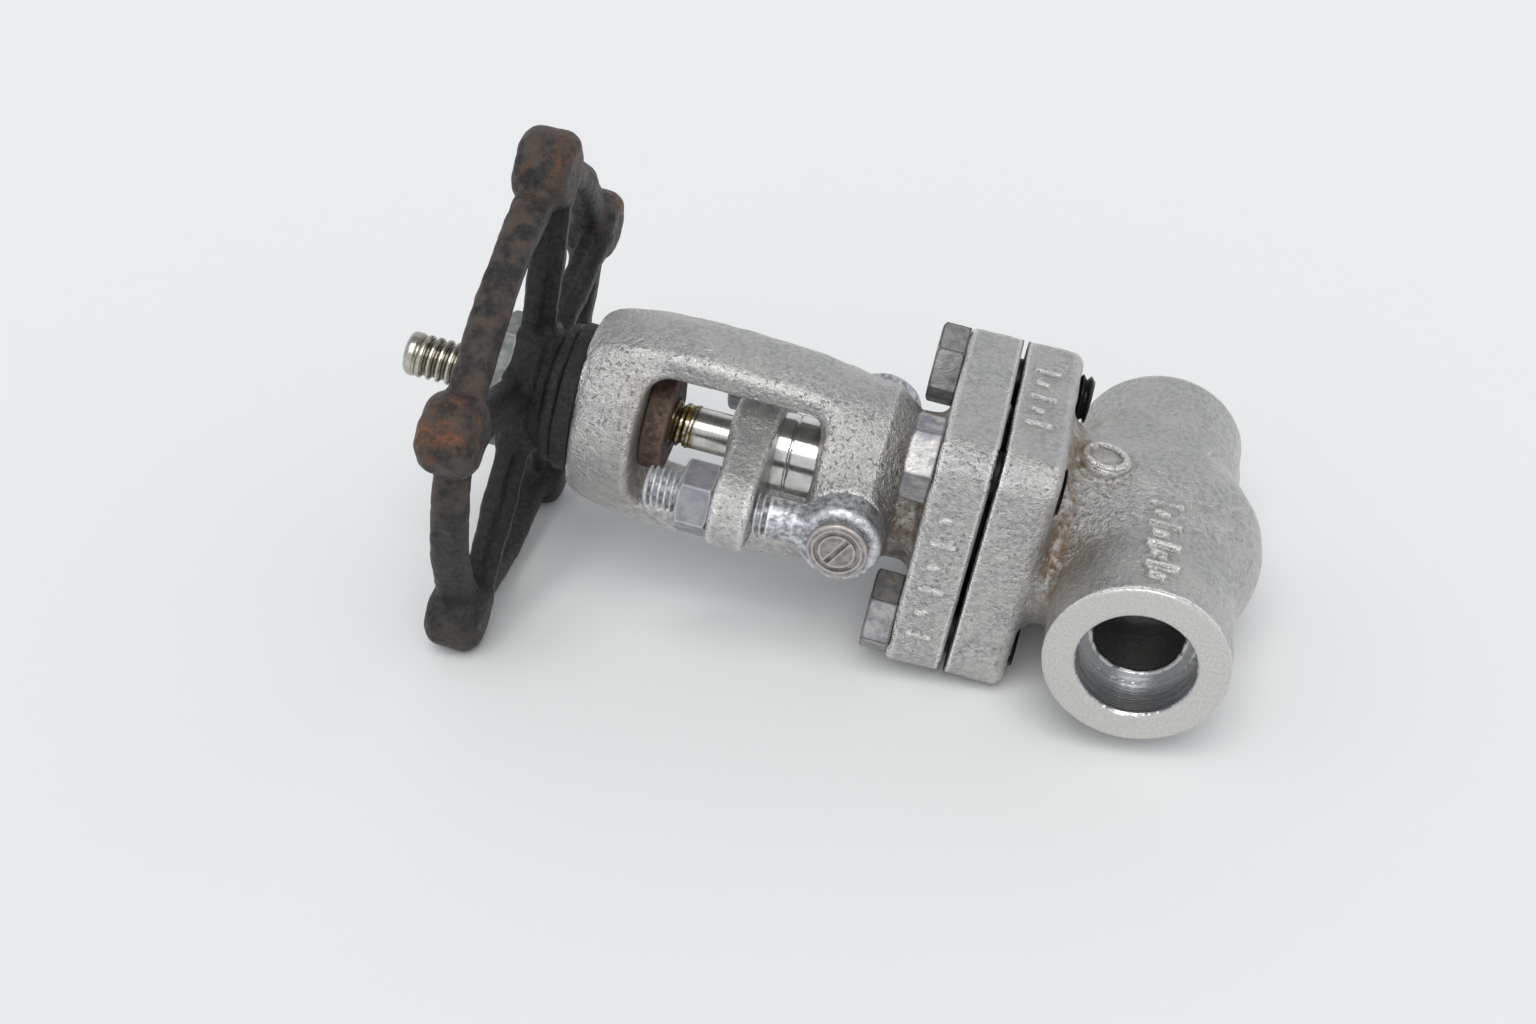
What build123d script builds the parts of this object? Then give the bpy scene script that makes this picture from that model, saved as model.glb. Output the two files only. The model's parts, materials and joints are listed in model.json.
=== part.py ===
from build123d import *
import os
from math import asin, atan2, cos, degrees, hypot, radians, sin, tan

# Forged stainless gate valve with an outside screw and yoke, small bore, socket-weld ends.
# Every piece is built upright: X runs along the pipe (front socket at +X), Z is the stem
# axis and Z = 0 is the pipe axis.  At the end the whole valve is laid down on its side,
# resting on the edge of its body flange and on two lobes of its handwheel.

# ---- driving dimensions (mm) -------------------------------------------------------
face_to_face = 79.0
run_radius = 17.0
socket_radius = 10.9
socket_depth = 9.5
port_radius = 8.3
seat_bore_radius = 5.5
dome_centre_z = -5.0
neck_radius = 19.0

flange_side = 52.0
flange_corner = 6.0
body_flange_bottom = 21.0
body_flange_top = 32.4
bonnet_flange_bottom = 33.8
bonnet_flange_top = 44.2
bolt_offset = 18.2
bolt_radius = 4.76
bolt_head_across = 14.3
bolt_head_height = 5.7
tapped_hole_z = 17.9

stem_radius = 4.3
thread_radius = 4.5
thread_bottom = 92.0
stem_top = 152.4
wedge_lift = 8.8
wedge_angle = 5.0
wedge_half_thickness = 5.0
wedge_radius = 8.0
seat_gap = 0.05

box_radius = 8.1
box_floor = 42.0
ring_height = 3.6
ring_count = 5
base_radius = 18.5
base_top = 66.0
gland_bottom = 60.4
gland_flange_bottom = 75.2
gland_flange_thickness = 9.2
gland_seat_thickness = 7.6

arm_outer = 21.5
arm_inner = 14.5
arm_half_width = 9.0
yoke_hub_radius = 16.5
yoke_hub_bottom = 101.5
yoke_hub_top = 114.5

eye_z = 57.8
eye_radius = 8.0
eye_x = 23.5
eye_thickness = 7.6
stud_radius = 4.0
stud_top = 96.2
gland_nut_across = 12.7
gland_nut_height = 6.5

sleeve_radius = 8.5
washer_radius = 15.0
wheel_hub_bottom = 118.2
wheel_hub_top = 129.2
wheel_hub_radius = 13.5
wheel_nut_across = 24.0
wheel_nut_height = 4.8
wheel_nut_turn = 11.0
drive_across = 14.5
rim_z = 128.6
rim_lobe_radius = 44.8
rim_middle_radius = 42.2
rim_thickness = 6.8
rim_depth = 6.2
rim_flat = 1.0
lobe_count = 5
lobe_circle = 47.65
lobe_radius = 7.6
lobe_thickness = 11.2
lobe_angle = 18.0

# ---- fits and clearances (radial) --------------------------------------------------
running = 0.06
sliding = 0.1
end_play = 0.1
hole_clearance = 0.45
thread_play = 0.01
pin_play = 0.05
gland_stem_play = 0.6
# how far cutting and joining shapes run past the faces they meet
overlap = 0.01

# ---- values that follow ------------------------------------------------------------
half_face = face_to_face / 2
cavity_half_x = 7.5
cavity_half_y = 9.7
cavity_bottom = -10.5
cavity_corner = 1.2
gasket_inner = 13.0
gasket_outer = 17.0
gasket_bottom = body_flange_top - 1.5
gasket_top = bonnet_flange_bottom - 1.6
gland_flange_top = gland_flange_bottom + gland_flange_thickness
gland_seat_z = gland_flange_bottom + gland_seat_thickness
eye_inner_x = eye_x - eye_thickness / 2
eye_outer_x = eye_x + eye_thickness / 2
# corner name, bolt x, bolt y, height of the bolt's end, and how far its tightened head is turned
flange_corners = [
    ("upper_front", bolt_offset, bolt_offset, 20.2, 37),
    ("upper_rear", -bolt_offset, bolt_offset, 17.9, 19),
    ("lower_front", bolt_offset, -bolt_offset, 20.2, 18),
    ("lower_rear", -bolt_offset, -bolt_offset, 17.9, 52),
]
bolt_places = [(x, y) for _, x, y, _, _ in flange_corners]


# ---- body --------------------------------------------------------------------------
run_edge = 1.0
flange_edge = 0.8
neck_straight = 4.0
pad_raise = 0.8
pad_depth = 4.0
pad_length = 26.0
pad_width = 9.0
pad_corner = 1.5
pad_x = 23.0
pad_z = -0.5
round_pad_radius = 5.2
round_pad_z = 12.5
guide_half_width = 1.5
guide_inner_y = 7.4
web_half_x = 20.6
web_half_y = 17.0
web_taper = -5.2

with BuildPart() as valve_body:
    # the run, a plain forged barrel from face to face
    with BuildSketch(Plane.YZ.offset(-half_face)):
        Circle(run_radius)
    extrude(amount=face_to_face)
    chamfer(valve_body.edges().filter_by(GeomType.CIRCLE), run_edge)
    # the neck under the flange, closed below by a round dome
    with BuildSketch(Plane.XZ):
        with BuildLine():
            Line((0, dome_centre_z - run_radius), (0, body_flange_top))
            Line((0, body_flange_top), (neck_radius, body_flange_top))
            Line((neck_radius, body_flange_top), (neck_radius, body_flange_bottom - neck_straight))
            Line((neck_radius, body_flange_bottom - neck_straight), (run_radius, dome_centre_z))
            CenterArc((0, dome_centre_z), run_radius, 0, -90)
        make_face()
    revolve(axis=Axis.Z)
    # a web along the run that carries the flange
    with BuildSketch(Plane.XY):
        Ellipse(web_half_x, web_half_y)
    extrude(amount=body_flange_bottom + overlap, taper=web_taper)
    # raised pads where a maker would forge the rating
    with BuildSketch(Plane.XZ.offset(-run_radius - pad_raise)):
        with Locations((pad_x, pad_z)):
            RectangleRounded(pad_length, pad_width, pad_corner)
    extrude(amount=pad_depth)
    with BuildSketch(Plane.XZ.offset(-neck_radius - pad_raise)):
        with Locations((0, round_pad_z)):
            Circle(round_pad_radius)
    extrude(amount=pad_depth)
    # the square flange
    with BuildSketch(Plane.XY.offset(body_flange_bottom)):
        RectangleRounded(flange_side, flange_side, flange_corner)
    extrude(amount=body_flange_top - body_flange_bottom)
    flange_rim = valve_body.faces().sort_by(Axis.Z)[-1].edges()
    fillet(flange_rim, flange_edge)
    # the wedge chamber with its two guide ribs
    with BuildSketch(Plane.XY.offset(cavity_bottom)):
        RectangleRounded(2 * cavity_half_x, 2 * cavity_half_y, cavity_corner)
        for side in (-1, 1):
            with Locations((0, side * (cavity_half_y + guide_inner_y) / 2)):
                Rectangle(
                    2 * guide_half_width,
                    cavity_half_y - guide_inner_y + 2 * overlap,
                    mode=Mode.SUBTRACT,
                )
    extrude(amount=body_flange_top - cavity_bottom, mode=Mode.SUBTRACT)
    # straight bore and the two weld sockets
    with BuildSketch(Plane.YZ.offset(-half_face)):
        Circle(port_radius)
    extrude(amount=half_face - cavity_half_x, mode=Mode.SUBTRACT)
    with BuildSketch(Plane.YZ.offset(cavity_half_x)):
        Circle(port_radius)
    extrude(amount=half_face - cavity_half_x, mode=Mode.SUBTRACT)
    for side in (-1, 1):
        with BuildSketch(Plane.YZ.offset(side * half_face)):
            Circle(socket_radius)
        extrude(amount=-side * socket_depth, mode=Mode.SUBTRACT)
    # gasket recess and the tapped bolt holes
    with BuildSketch(Plane.XY.offset(gasket_bottom)):
        Circle(gasket_outer)
    extrude(amount=body_flange_top - gasket_bottom, mode=Mode.SUBTRACT)
    with BuildSketch(Plane.XY.offset(tapped_hole_z)):
        with Locations(bolt_places):
            Circle(bolt_radius + thread_play)
    extrude(amount=body_flange_top - tapped_hole_z, mode=Mode.SUBTRACT)

# ---- seat rings and wedge ----------------------------------------------------------
seat_inner_x = 3.0
seat_outer_x = 12.5
seat_mouth = 1.6
lug_top = wedge_lift + 14.5
slot_bottom = wedge_lift + 7.9
slot_step = wedge_lift + 11.3
head_gap = 0.2
head_half_x = 4.2
head_half_y = 5.2
shank_half_x = 3.5
shank_half_y = 2.9
lug_half_y = 8.0
groove_play = 0.2
groove_side_play = 0.25
groove_span = 4.0
cut_margin = 1.0


def leaning_plane(side, x, z):
    """The plane of a seat or of a wedge face, leaning outward as it rises."""
    return Plane(
        origin=(side * x, 0, z),
        z_dir=(side * cos(radians(wedge_angle)), 0, -sin(radians(wedge_angle))),
    )


with BuildPart() as seat_ring:
    with BuildSketch(Plane.YZ.offset(seat_inner_x)):
        Circle(port_radius)
        Circle(seat_bore_radius, mode=Mode.SUBTRACT)
    extrude(amount=seat_outer_x - seat_inner_x)
    split(bisect_by=leaning_plane(1, wedge_half_thickness + seat_gap, 0), keep=Keep.TOP)
    mouth = seat_ring.edges().filter_by(GeomType.CIRCLE).sort_by(Axis.X)[-2:].sort_by(SortBy.RADIUS)[0]
    chamfer(mouth, seat_mouth)

with BuildPart() as wedge:
    with BuildSketch(Plane.YZ.offset(-cavity_half_x)):
        with Locations((0, wedge_lift)):
            Circle(wedge_radius)
        with Locations((0, (wedge_lift + lug_top) / 2)):
            Rectangle(2 * lug_half_y, lug_top - wedge_lift)
    extrude(amount=2 * cavity_half_x)
    for side in (-1, 1):
        split(bisect_by=leaning_plane(side, wedge_half_thickness, wedge_lift), keep=Keep.BOTTOM)
    # side grooves that run on the guide ribs
    with BuildSketch(Plane.XY.offset(wedge_lift - wedge_radius - cut_margin)):
        for side in (-1, 1):
            with Locations((0, side * (guide_inner_y - groove_play + groove_span / 2))):
                Rectangle(2 * (guide_half_width + groove_side_play), groove_span)
    extrude(amount=lug_top - wedge_lift + wedge_radius + 2 * cut_margin, mode=Mode.SUBTRACT)
    # T-slot for the stem head, open toward both seats
    with BuildSketch(Plane.YZ.offset(-cavity_half_x)):
        with Locations((0, (slot_bottom + slot_step) / 2)):
            Rectangle(2 * (head_half_y + head_gap), slot_step - slot_bottom)
        with Locations((0, (slot_step + lug_top) / 2)):
            Rectangle(2 * (shank_half_y + head_gap), lug_top - slot_step + overlap)
    extrude(amount=2 * cavity_half_x, mode=Mode.SUBTRACT)

# ---- stem --------------------------------------------------------------------------
shoulder_radius = 6.0
shoulder_bottom = 25.5
shoulder_top = 28.75
shoulder_cone_top = 30.35
tip_chamfer = 1.4

with BuildPart() as stem:
    with BuildSketch(Plane.XZ):
        with BuildLine():
            Polyline(
                (0, shoulder_bottom),
                (shoulder_radius, shoulder_bottom),
                (shoulder_radius, shoulder_top),
                (stem_radius, shoulder_cone_top),
                (stem_radius, thread_bottom),
                (thread_radius, thread_bottom + thread_radius - stem_radius),
                (thread_radius, stem_top - tip_chamfer),
                (thread_radius - tip_chamfer, stem_top),
                (0, stem_top),
                close=True,
            )
        make_face()
    revolve(axis=Axis.Z)
    # flats and T-head below the shoulder
    with BuildSketch(Plane.XY.offset(slot_step - head_gap)):
        Rectangle(2 * shank_half_x, 2 * shank_half_y)
    extrude(amount=shoulder_bottom - slot_step + head_gap)
    with BuildSketch(Plane.XY.offset(slot_bottom + head_gap)):
        Rectangle(2 * head_half_x, 2 * head_half_y)
    extrude(amount=slot_step - slot_bottom - 2 * head_gap)

# ---- bonnet with its yoke ----------------------------------------------------------
bonnet_neck_radius = 15.0
bonnet_neck_top = 49.5
base_shoulder_z = 56.0
chamber_radius = 9.0
bush_radius = 7.0
bush_collar_radius = 8.4
bush_bottom = 34.0
bush_collar_top = 35.5
boss_radius = 7.4
boss_end_x = 19.4
pin_radius = 3.5
pin_end_x = 10.6
window_corner = 4.0
arm_edge = 3.0
window_edge = 2.5
yoke_hub_edge = 2.6
base_edge = 2.0
# a point (radius, z) of the hollow curve where the bonnet neck widens into the base
neck_swell = (17.4, 52.1)
arm_foot_y = 16.0
arm_foot_z = 58.0
crown_half_y = 12.5
# the outer line of an arm (y, z), from its foot on the base to the crown over the hub
arm_line = [
    (arm_foot_y, arm_foot_z),
    (19.7, 67.0),
    (21.1, 80.0),
    (arm_outer, 98.0),
    (19.1, 109.0),
    (crown_half_y, yoke_hub_top),
]

with BuildPart() as bonnet:
    # the flat yoke loop: two arms joined over the top
    with BuildSketch(Plane.YZ.offset(-arm_half_width)):
        with BuildLine():
            arm_outline = Spline(*arm_line, tangents=[(0.5, 1), (-1, 0)])
            Line((crown_half_y, yoke_hub_top), (-crown_half_y, yoke_hub_top))
            mirror(arm_outline, about=Plane.YZ)
            Line((arm_foot_y, arm_foot_z), (-arm_foot_y, arm_foot_z))
        make_face()
        with Locations((0, (base_top + yoke_hub_bottom) / 2)):
            RectangleRounded(2 * arm_inner, yoke_hub_bottom - base_top, window_corner, mode=Mode.SUBTRACT)
    extrude(amount=2 * arm_half_width)
    for side_face in (bonnet.faces().sort_by(Axis.X)[0], bonnet.faces().sort_by(Axis.X)[-1]):
        fillet(side_face.outer_wire().edges(), arm_edge)
    for side_face in (bonnet.faces().sort_by(Axis.X)[0], bonnet.faces().sort_by(Axis.X)[-1]):
        fillet(side_face.inner_wires()[0].edges(), window_edge)
    # the round hub over the arms
    hub_core = yoke_hub_radius - yoke_hub_edge
    with BuildSketch(Plane.XZ):
        with BuildLine():
            Line((hub_core, yoke_hub_top), (0, yoke_hub_top))
            Line((0, yoke_hub_top), (0, yoke_hub_bottom))
            Line((0, yoke_hub_bottom), (yoke_hub_radius, yoke_hub_bottom))
            Line((yoke_hub_radius, yoke_hub_bottom), (yoke_hub_radius, yoke_hub_top - yoke_hub_edge))
            CenterArc((hub_core, yoke_hub_top - yoke_hub_edge), yoke_hub_edge, 0, 90)
        make_face()
    revolve(axis=Axis.Z)
    # the round base and its narrower neck
    with BuildSketch(Plane.XZ):
        with BuildLine():
            Line((0, bonnet_flange_top), (bonnet_neck_radius, bonnet_flange_top))
            Line((bonnet_neck_radius, bonnet_flange_top), (bonnet_neck_radius, bonnet_neck_top))
            ThreePointArc((bonnet_neck_radius, bonnet_neck_top), neck_swell, (base_radius, base_shoulder_z))
            Line((base_radius, base_shoulder_z), (base_radius, base_top - base_edge))
            Line((base_radius, base_top - base_edge), (base_radius - base_edge, base_top))
            Line((base_radius - base_edge, base_top), (0, base_top))
            Line((0, base_top), (0, bonnet_flange_top))
        make_face()
    revolve(axis=Axis.Z)
    # side bosses behind the eyebolts
    for side in (-1, 1):
        with BuildSketch(Plane.YZ):
            with Locations((0, eye_z)):
                Circle(boss_radius)
        extrude(amount=side * boss_end_x)
    # the square flange and the spigot that presses the gasket
    with BuildSketch(Plane.XY.offset(bonnet_flange_bottom)):
        RectangleRounded(flange_side, flange_side, flange_corner)
    extrude(amount=bonnet_flange_top - bonnet_flange_bottom)
    with BuildSketch(Plane.XY.offset(gasket_top)):
        Circle(gasket_outer - sliding)
    extrude(amount=bonnet_flange_bottom - gasket_top)
    # bores from bottom to top: chamber, backseat bush, stuffing box, yoke sleeve
    with BuildSketch(Plane.XY.offset(gasket_top)):
        Circle(chamber_radius)
    extrude(amount=bush_collar_top - gasket_top, mode=Mode.SUBTRACT)
    with BuildSketch(Plane.XY.offset(bush_collar_top)):
        Circle(bush_radius)
    extrude(amount=box_floor - bush_collar_top, mode=Mode.SUBTRACT)
    with BuildSketch(Plane.XY.offset(box_floor)):
        Circle(box_radius)
    extrude(amount=base_top - box_floor, mode=Mode.SUBTRACT)
    with BuildSketch(Plane.XY.offset(yoke_hub_bottom)):
        Circle(sleeve_radius + sliding)
    extrude(amount=yoke_hub_top - yoke_hub_bottom, mode=Mode.SUBTRACT)
    # bolt holes and the tapped holes for the eyebolt pins
    with BuildSketch(Plane.XY.offset(bonnet_flange_bottom)):
        with Locations(bolt_places):
            Circle(bolt_radius + hole_clearance)
    extrude(amount=bonnet_flange_top - bonnet_flange_bottom, mode=Mode.SUBTRACT)
    for side in (-1, 1):
        with BuildSketch(Plane.YZ.offset(side * pin_end_x)):
            with Locations((0, eye_z)):
                Circle(pin_radius + thread_play)
        extrude(amount=side * (eye_outer_x - pin_end_x), mode=Mode.SUBTRACT)

with BuildPart() as bonnet_gasket:
    with BuildSketch(Plane.XY.offset(gasket_bottom)):
        Circle(gasket_outer - sliding)
        Circle(gasket_inner, mode=Mode.SUBTRACT)
    extrude(amount=gasket_top - gasket_bottom)

with BuildPart() as backseat_bush:
    with BuildSketch(Plane.XZ):
        with BuildLine():
            Polyline(
                (shoulder_radius + running, bush_bottom),
                (bush_collar_radius, bush_bottom),
                (bush_collar_radius, bush_collar_top),
                (bush_radius, bush_collar_top),
                (bush_radius, box_floor),
                (stem_radius + running, box_floor),
                (stem_radius + running, bush_bottom + shoulder_cone_top - shoulder_top),
                close=True,
            )
        make_face()
    revolve(axis=Axis.Z)

# ---- packing and gland -------------------------------------------------------------
gland_flange_end_radius = 8.0
gland_flange_waist = 11.0
gland_slope_start = 9.5
gland_slope_end = 15.5
gland_lip = 1.0
gland_bush_chamfer = 0.5

with BuildPart() as packing_ring:
    with BuildSketch(Plane.XY.offset(box_floor)):
        Circle(box_radius - running)
        Circle(stem_radius + running, mode=Mode.SUBTRACT)
    extrude(amount=ring_height)

with BuildPart() as gland_bush:
    with BuildSketch(Plane.XY.offset(gland_bottom)):
        Circle(box_radius - sliding)
        Circle(thread_radius + sliding, mode=Mode.SUBTRACT)
    extrude(amount=gland_flange_bottom - gland_bottom)
    chamfer(gland_bush.edges().group_by(Axis.Z)[0].sort_by(SortBy.RADIUS)[-1], gland_bush_chamfer)

with BuildPart() as gland_flange:
    with BuildSketch(Plane.XY.offset(gland_flange_bottom)):
        Circle(gland_flange_waist)
        with Locations((eye_x, 0), (-eye_x, 0)):
            Circle(gland_flange_end_radius)
        make_hull()
    extrude(amount=gland_flange_thickness)
    # the ears slope down to a lower seat for the nuts
    for side in (-1, 1):
        with BuildSketch(Plane.XZ):
            Polygon(
                (side * gland_slope_start, gland_flange_top + overlap),
                (side * gland_slope_end, gland_seat_z),
                (side * (eye_x + gland_flange_end_radius + cut_margin), gland_seat_z),
                (side * (eye_x + gland_flange_end_radius + cut_margin), gland_flange_top + overlap),
                align=None,
            )
        extrude(amount=gland_flange_waist, both=True, mode=Mode.SUBTRACT)
    fillet(gland_flange.edges().filter_by(GeomType.CIRCLE), gland_lip)
    with BuildSketch(Plane.XY.offset(gland_flange_bottom)):
        Circle(thread_radius + gland_stem_play)
        with Locations((eye_x, 0), (-eye_x, 0)):
            Circle(stud_radius + hole_clearance)
    extrude(amount=gland_flange_thickness, mode=Mode.SUBTRACT)

# ---- the bolting -------------------------------------------------------------------
bolt_end_chamfer = 0.7
corner_cut = 0.9
stud_bottom = eye_z + 6.0
stud_chamfer = 0.8
eye_edge = 1.0
pin_head_radius = 5.9
pin_head_height = 1.8
pin_chamfer = 0.6
pin_slot_width = 1.4
pin_slot_length = 8.8
pin_slot_depth = 0.8
gland_nut_turn = 18


def crowned_hexagon(across, height, both_ends):
    """A hexagon blank whose corners are turned off at the top, or at both ends."""
    corner = across / 2 / cos(radians(30))
    drop = corner_cut * tan(radians(30))
    foot_cut = corner_cut if both_ends else 0
    foot_drop = drop if both_ends else 0
    with BuildPart() as blank:
        with BuildSketch():
            RegularPolygon(across / 2, 6, major_radius=False)
        extrude(amount=height)
        with BuildSketch(Plane.XZ):
            with BuildLine():
                Polyline(
                    (0, 0),
                    (corner - foot_cut, 0),
                    (corner + overlap, foot_drop),
                    (corner + overlap, height - drop),
                    (corner - corner_cut, height),
                    (0, height),
                    close=True,
                )
            make_face()
        revolve(axis=Axis.Z, mode=Mode.INTERSECT)
    return blank.part


def bonnet_bolt(end_z):
    """A hexagon bolt whose shank ends at height end_z."""
    with BuildPart() as blank:
        with Locations((0, 0, bonnet_flange_top)):
            add(crowned_hexagon(bolt_head_across, bolt_head_height, False))
        with BuildSketch(Plane.XY.offset(end_z)):
            Circle(bolt_radius)
        extrude(amount=bonnet_flange_top - end_z)
        chamfer(blank.edges().group_by(Axis.Z)[0], bolt_end_chamfer)
    return blank.part


with BuildPart() as eyebolt:
    with BuildSketch(Plane.YZ.offset(eye_inner_x)):
        with Locations((0, eye_z)):
            Circle(eye_radius)
    extrude(amount=eye_thickness)
    fillet(eyebolt.edges(), eye_edge)
    with BuildSketch(Plane((eye_x, 0, stud_bottom))):
        Circle(stud_radius)
    extrude(amount=stud_top - stud_bottom)
    chamfer(eyebolt.edges().group_by(Axis.Z)[-1], stud_chamfer)
    with BuildSketch(Plane.YZ.offset(eye_inner_x)):
        with Locations((0, eye_z)):
            Circle(pin_radius + pin_play)
    extrude(amount=eye_thickness, mode=Mode.SUBTRACT)

with BuildPart() as eyebolt_pin:
    with BuildSketch(Plane.YZ.offset(pin_end_x)):
        with Locations((0, eye_z)):
            Circle(pin_radius)
    extrude(amount=eye_outer_x - pin_end_x)
    with BuildSketch(Plane.YZ.offset(eye_outer_x)):
        with Locations((0, eye_z)):
            Circle(pin_head_radius)
    extrude(amount=pin_head_height)
    chamfer(eyebolt_pin.edges().group_by(Axis.X)[-1], pin_chamfer)
    with BuildSketch(Plane.YZ.offset(eye_outer_x + pin_head_height)):
        with Locations((0, eye_z)):
            Rectangle(pin_slot_width, pin_slot_length)
    extrude(amount=-pin_slot_depth, mode=Mode.SUBTRACT)

with BuildPart() as gland_nut:
    with Locations(Location((eye_x, 0, gland_seat_z), (0, 0, gland_nut_turn))):
        add(crowned_hexagon(gland_nut_across, gland_nut_height, True))
        Cylinder(
            stud_radius + running,
            gland_nut_height,
            align=(Align.CENTER, Align.CENTER, Align.MIN),
            mode=Mode.SUBTRACT,
        )

# ---- yoke nut and handwheel --------------------------------------------------------
sleeve_flange_radius = 10.0
sleeve_flange_bottom = 96.6
drive_top = 127.5
sleeve_thread_radius = 7.0
sleeve_top = 133.5
sleeve_chamfer = 0.5
spoke_root_radius = 11.0
spoke_root_width = 9.0
spoke_tip_radius = 43.65
spoke_tip_width = 6.5
web_bottom = 125.8
rib_bottom = 123.2
rib_width = 3.0
lobe_edge = 4.2
hub_collar_radius = 14.3
hub_collar_top = 121.0
hub_groove_radius = 12.3
hub_groove_top = 123.4

with BuildPart() as yoke_nut:
    with BuildSketch(Plane.XY.offset(sleeve_flange_bottom)):
        Circle(sleeve_flange_radius)
    extrude(amount=yoke_hub_bottom - end_play - sleeve_flange_bottom)
    with BuildSketch(Plane.XY.offset(sleeve_flange_bottom)):
        Circle(sleeve_radius)
    extrude(amount=wheel_hub_bottom - sleeve_flange_bottom)
    with BuildSketch(Plane.XY.offset(wheel_hub_bottom)):
        RegularPolygon(drive_across / 2, 6, major_radius=False)
    extrude(amount=drive_top - wheel_hub_bottom)
    with BuildSketch(Plane.XY.offset(drive_top)):
        Circle(sleeve_thread_radius)
    extrude(amount=sleeve_top - drive_top)
    chamfer(yoke_nut.edges().group_by(Axis.Z)[-1], sleeve_chamfer)
    with BuildSketch(Plane.XY.offset(sleeve_flange_bottom)):
        Circle(thread_radius + running)
    extrude(amount=sleeve_top - sleeve_flange_bottom, mode=Mode.SUBTRACT)

with BuildPart() as thrust_washer:
    with BuildSketch(Plane.XY.offset(yoke_hub_top)):
        Circle(washer_radius)
        Circle(sleeve_radius + sliding, mode=Mode.SUBTRACT)
    extrude(amount=wheel_hub_bottom - end_play - yoke_hub_top)

with BuildPart() as grip_lobe:
    with BuildSketch(Plane.XY.offset(rim_z - lobe_thickness / 2)):
        Circle(lobe_radius)
    extrude(amount=lobe_thickness)
    fillet(grip_lobe.edges().filter_by(GeomType.CIRCLE), lobe_edge)

# The rim is five arcs, flatter than one circle, that meet inside the lobes.
half_sector = radians(180 / lobe_count)
arc_half_chord = rim_lobe_radius * sin(half_sector)
arc_rise = rim_middle_radius - rim_lobe_radius * cos(half_sector)
arc_radius = (arc_half_chord**2 + arc_rise**2) / (2 * arc_rise)
arc_sweep = 2 * degrees(asin(arc_half_chord / arc_radius))

with BuildPart() as rim_arc:
    with BuildSketch(Plane.XZ):
        with Locations((arc_radius, 0)):
            RectangleRounded(rim_depth, rim_thickness, rim_depth / 2 - rim_flat / 2)
    revolve(axis=Axis.Z, revolution_arc=arc_sweep)
arc_placed = rim_arc.part.rotate(Axis.Z, -arc_sweep / 2).translate((-arc_radius, 0, rim_z))

with BuildPart() as handwheel:
    # the rim
    with PolarLocations(rim_middle_radius, lobe_count, start_angle=lobe_angle + 180 / lobe_count):
        add(arc_placed)
    # the five grip lobes on it
    with PolarLocations(lobe_circle, lobe_count, start_angle=lobe_angle):
        add(grip_lobe.part)
    # tapered spokes with a rib on the yoke side
    with BuildSketch(Plane.XY.offset(web_bottom)):
        with PolarLocations(0, lobe_count, start_angle=lobe_angle):
            Polygon(
                (spoke_root_radius, -spoke_root_width / 2),
                (spoke_tip_radius, -spoke_tip_width / 2),
                (spoke_tip_radius, spoke_tip_width / 2),
                (spoke_root_radius, spoke_root_width / 2),
                align=None,
            )
    extrude(amount=wheel_hub_top - web_bottom)
    with BuildSketch(Plane.XY.offset(rib_bottom)):
        with PolarLocations((spoke_root_radius + rim_lobe_radius) / 2, lobe_count, start_angle=lobe_angle):
            Rectangle(rim_lobe_radius - spoke_root_radius, rib_width)
    extrude(amount=web_bottom - rib_bottom)
    # hub with a collar, a groove round it and its hexagon drive
    with BuildSketch(Plane.XZ):
        with BuildLine():
            Polyline(
                (0, wheel_hub_bottom),
                (hub_collar_radius, wheel_hub_bottom),
                (hub_collar_radius, hub_collar_top),
                (hub_groove_radius, hub_collar_top),
                (hub_groove_radius, hub_groove_top),
                (wheel_hub_radius, hub_groove_top),
                (wheel_hub_radius, wheel_hub_top),
                (0, wheel_hub_top),
                close=True,
            )
        make_face()
    revolve(axis=Axis.Z)
    with BuildSketch(Plane.XY.offset(wheel_hub_bottom)):
        RegularPolygon(drive_across / 2 + running, 6, major_radius=False)
    extrude(amount=wheel_hub_top - wheel_hub_bottom, mode=Mode.SUBTRACT)

with BuildPart() as handwheel_nut:
    with Locations(Location((0, 0, wheel_hub_top), (0, 0, wheel_nut_turn))):
        add(crowned_hexagon(wheel_nut_across, wheel_nut_height, True))
        Cylinder(
            sleeve_thread_radius + running,
            wheel_nut_height,
            align=(Align.CENTER, Align.CENTER, Align.MIN),
            mode=Mode.SUBTRACT,
        )

# ---- laying the valve down ---------------------------------------------------------
# The lower edge of the body flange and two grip lobes touch the ground.  The tilt is the
# slope of the line through that edge which is tangent to the rounded edge of the lobes.
grip_core_z = rim_z - (lobe_thickness / 2 - lobe_edge)
grip_core_y = lobe_circle * cos(radians(180 / lobe_count)) + lobe_radius - lobe_edge
edge_run = grip_core_z - body_flange_bottom
edge_drop = grip_core_y - flange_side / 2
tilt = atan2(edge_drop, edge_run) + asin(lobe_edge / hypot(edge_run, edge_drop))
axis_height = flange_side / 2 * cos(tilt) - body_flange_bottom * sin(tilt)
# the origin is under the middle of the whole length, from dome to stem tip
reach_dome = run_radius - dome_centre_z * cos(tilt)
reach_tip = stem_top * cos(tilt) + (thread_radius - tip_chamfer) * sin(tilt)
lying_plane = Plane(
    origin=((reach_tip - reach_dome) / 2, 0, axis_height),
    x_dir=(0, -1, 0),
    z_dir=(-cos(tilt), 0, sin(tilt)),
)
lying = lying_plane.location

front_nodes = {
    "seat_ring": seat_ring,
    "eyebolt": eyebolt,
    "eyebolt_pin": eyebolt_pin,
    "gland_nut": gland_nut,
}

os.makedirs("parts", exist_ok=True)

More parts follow.
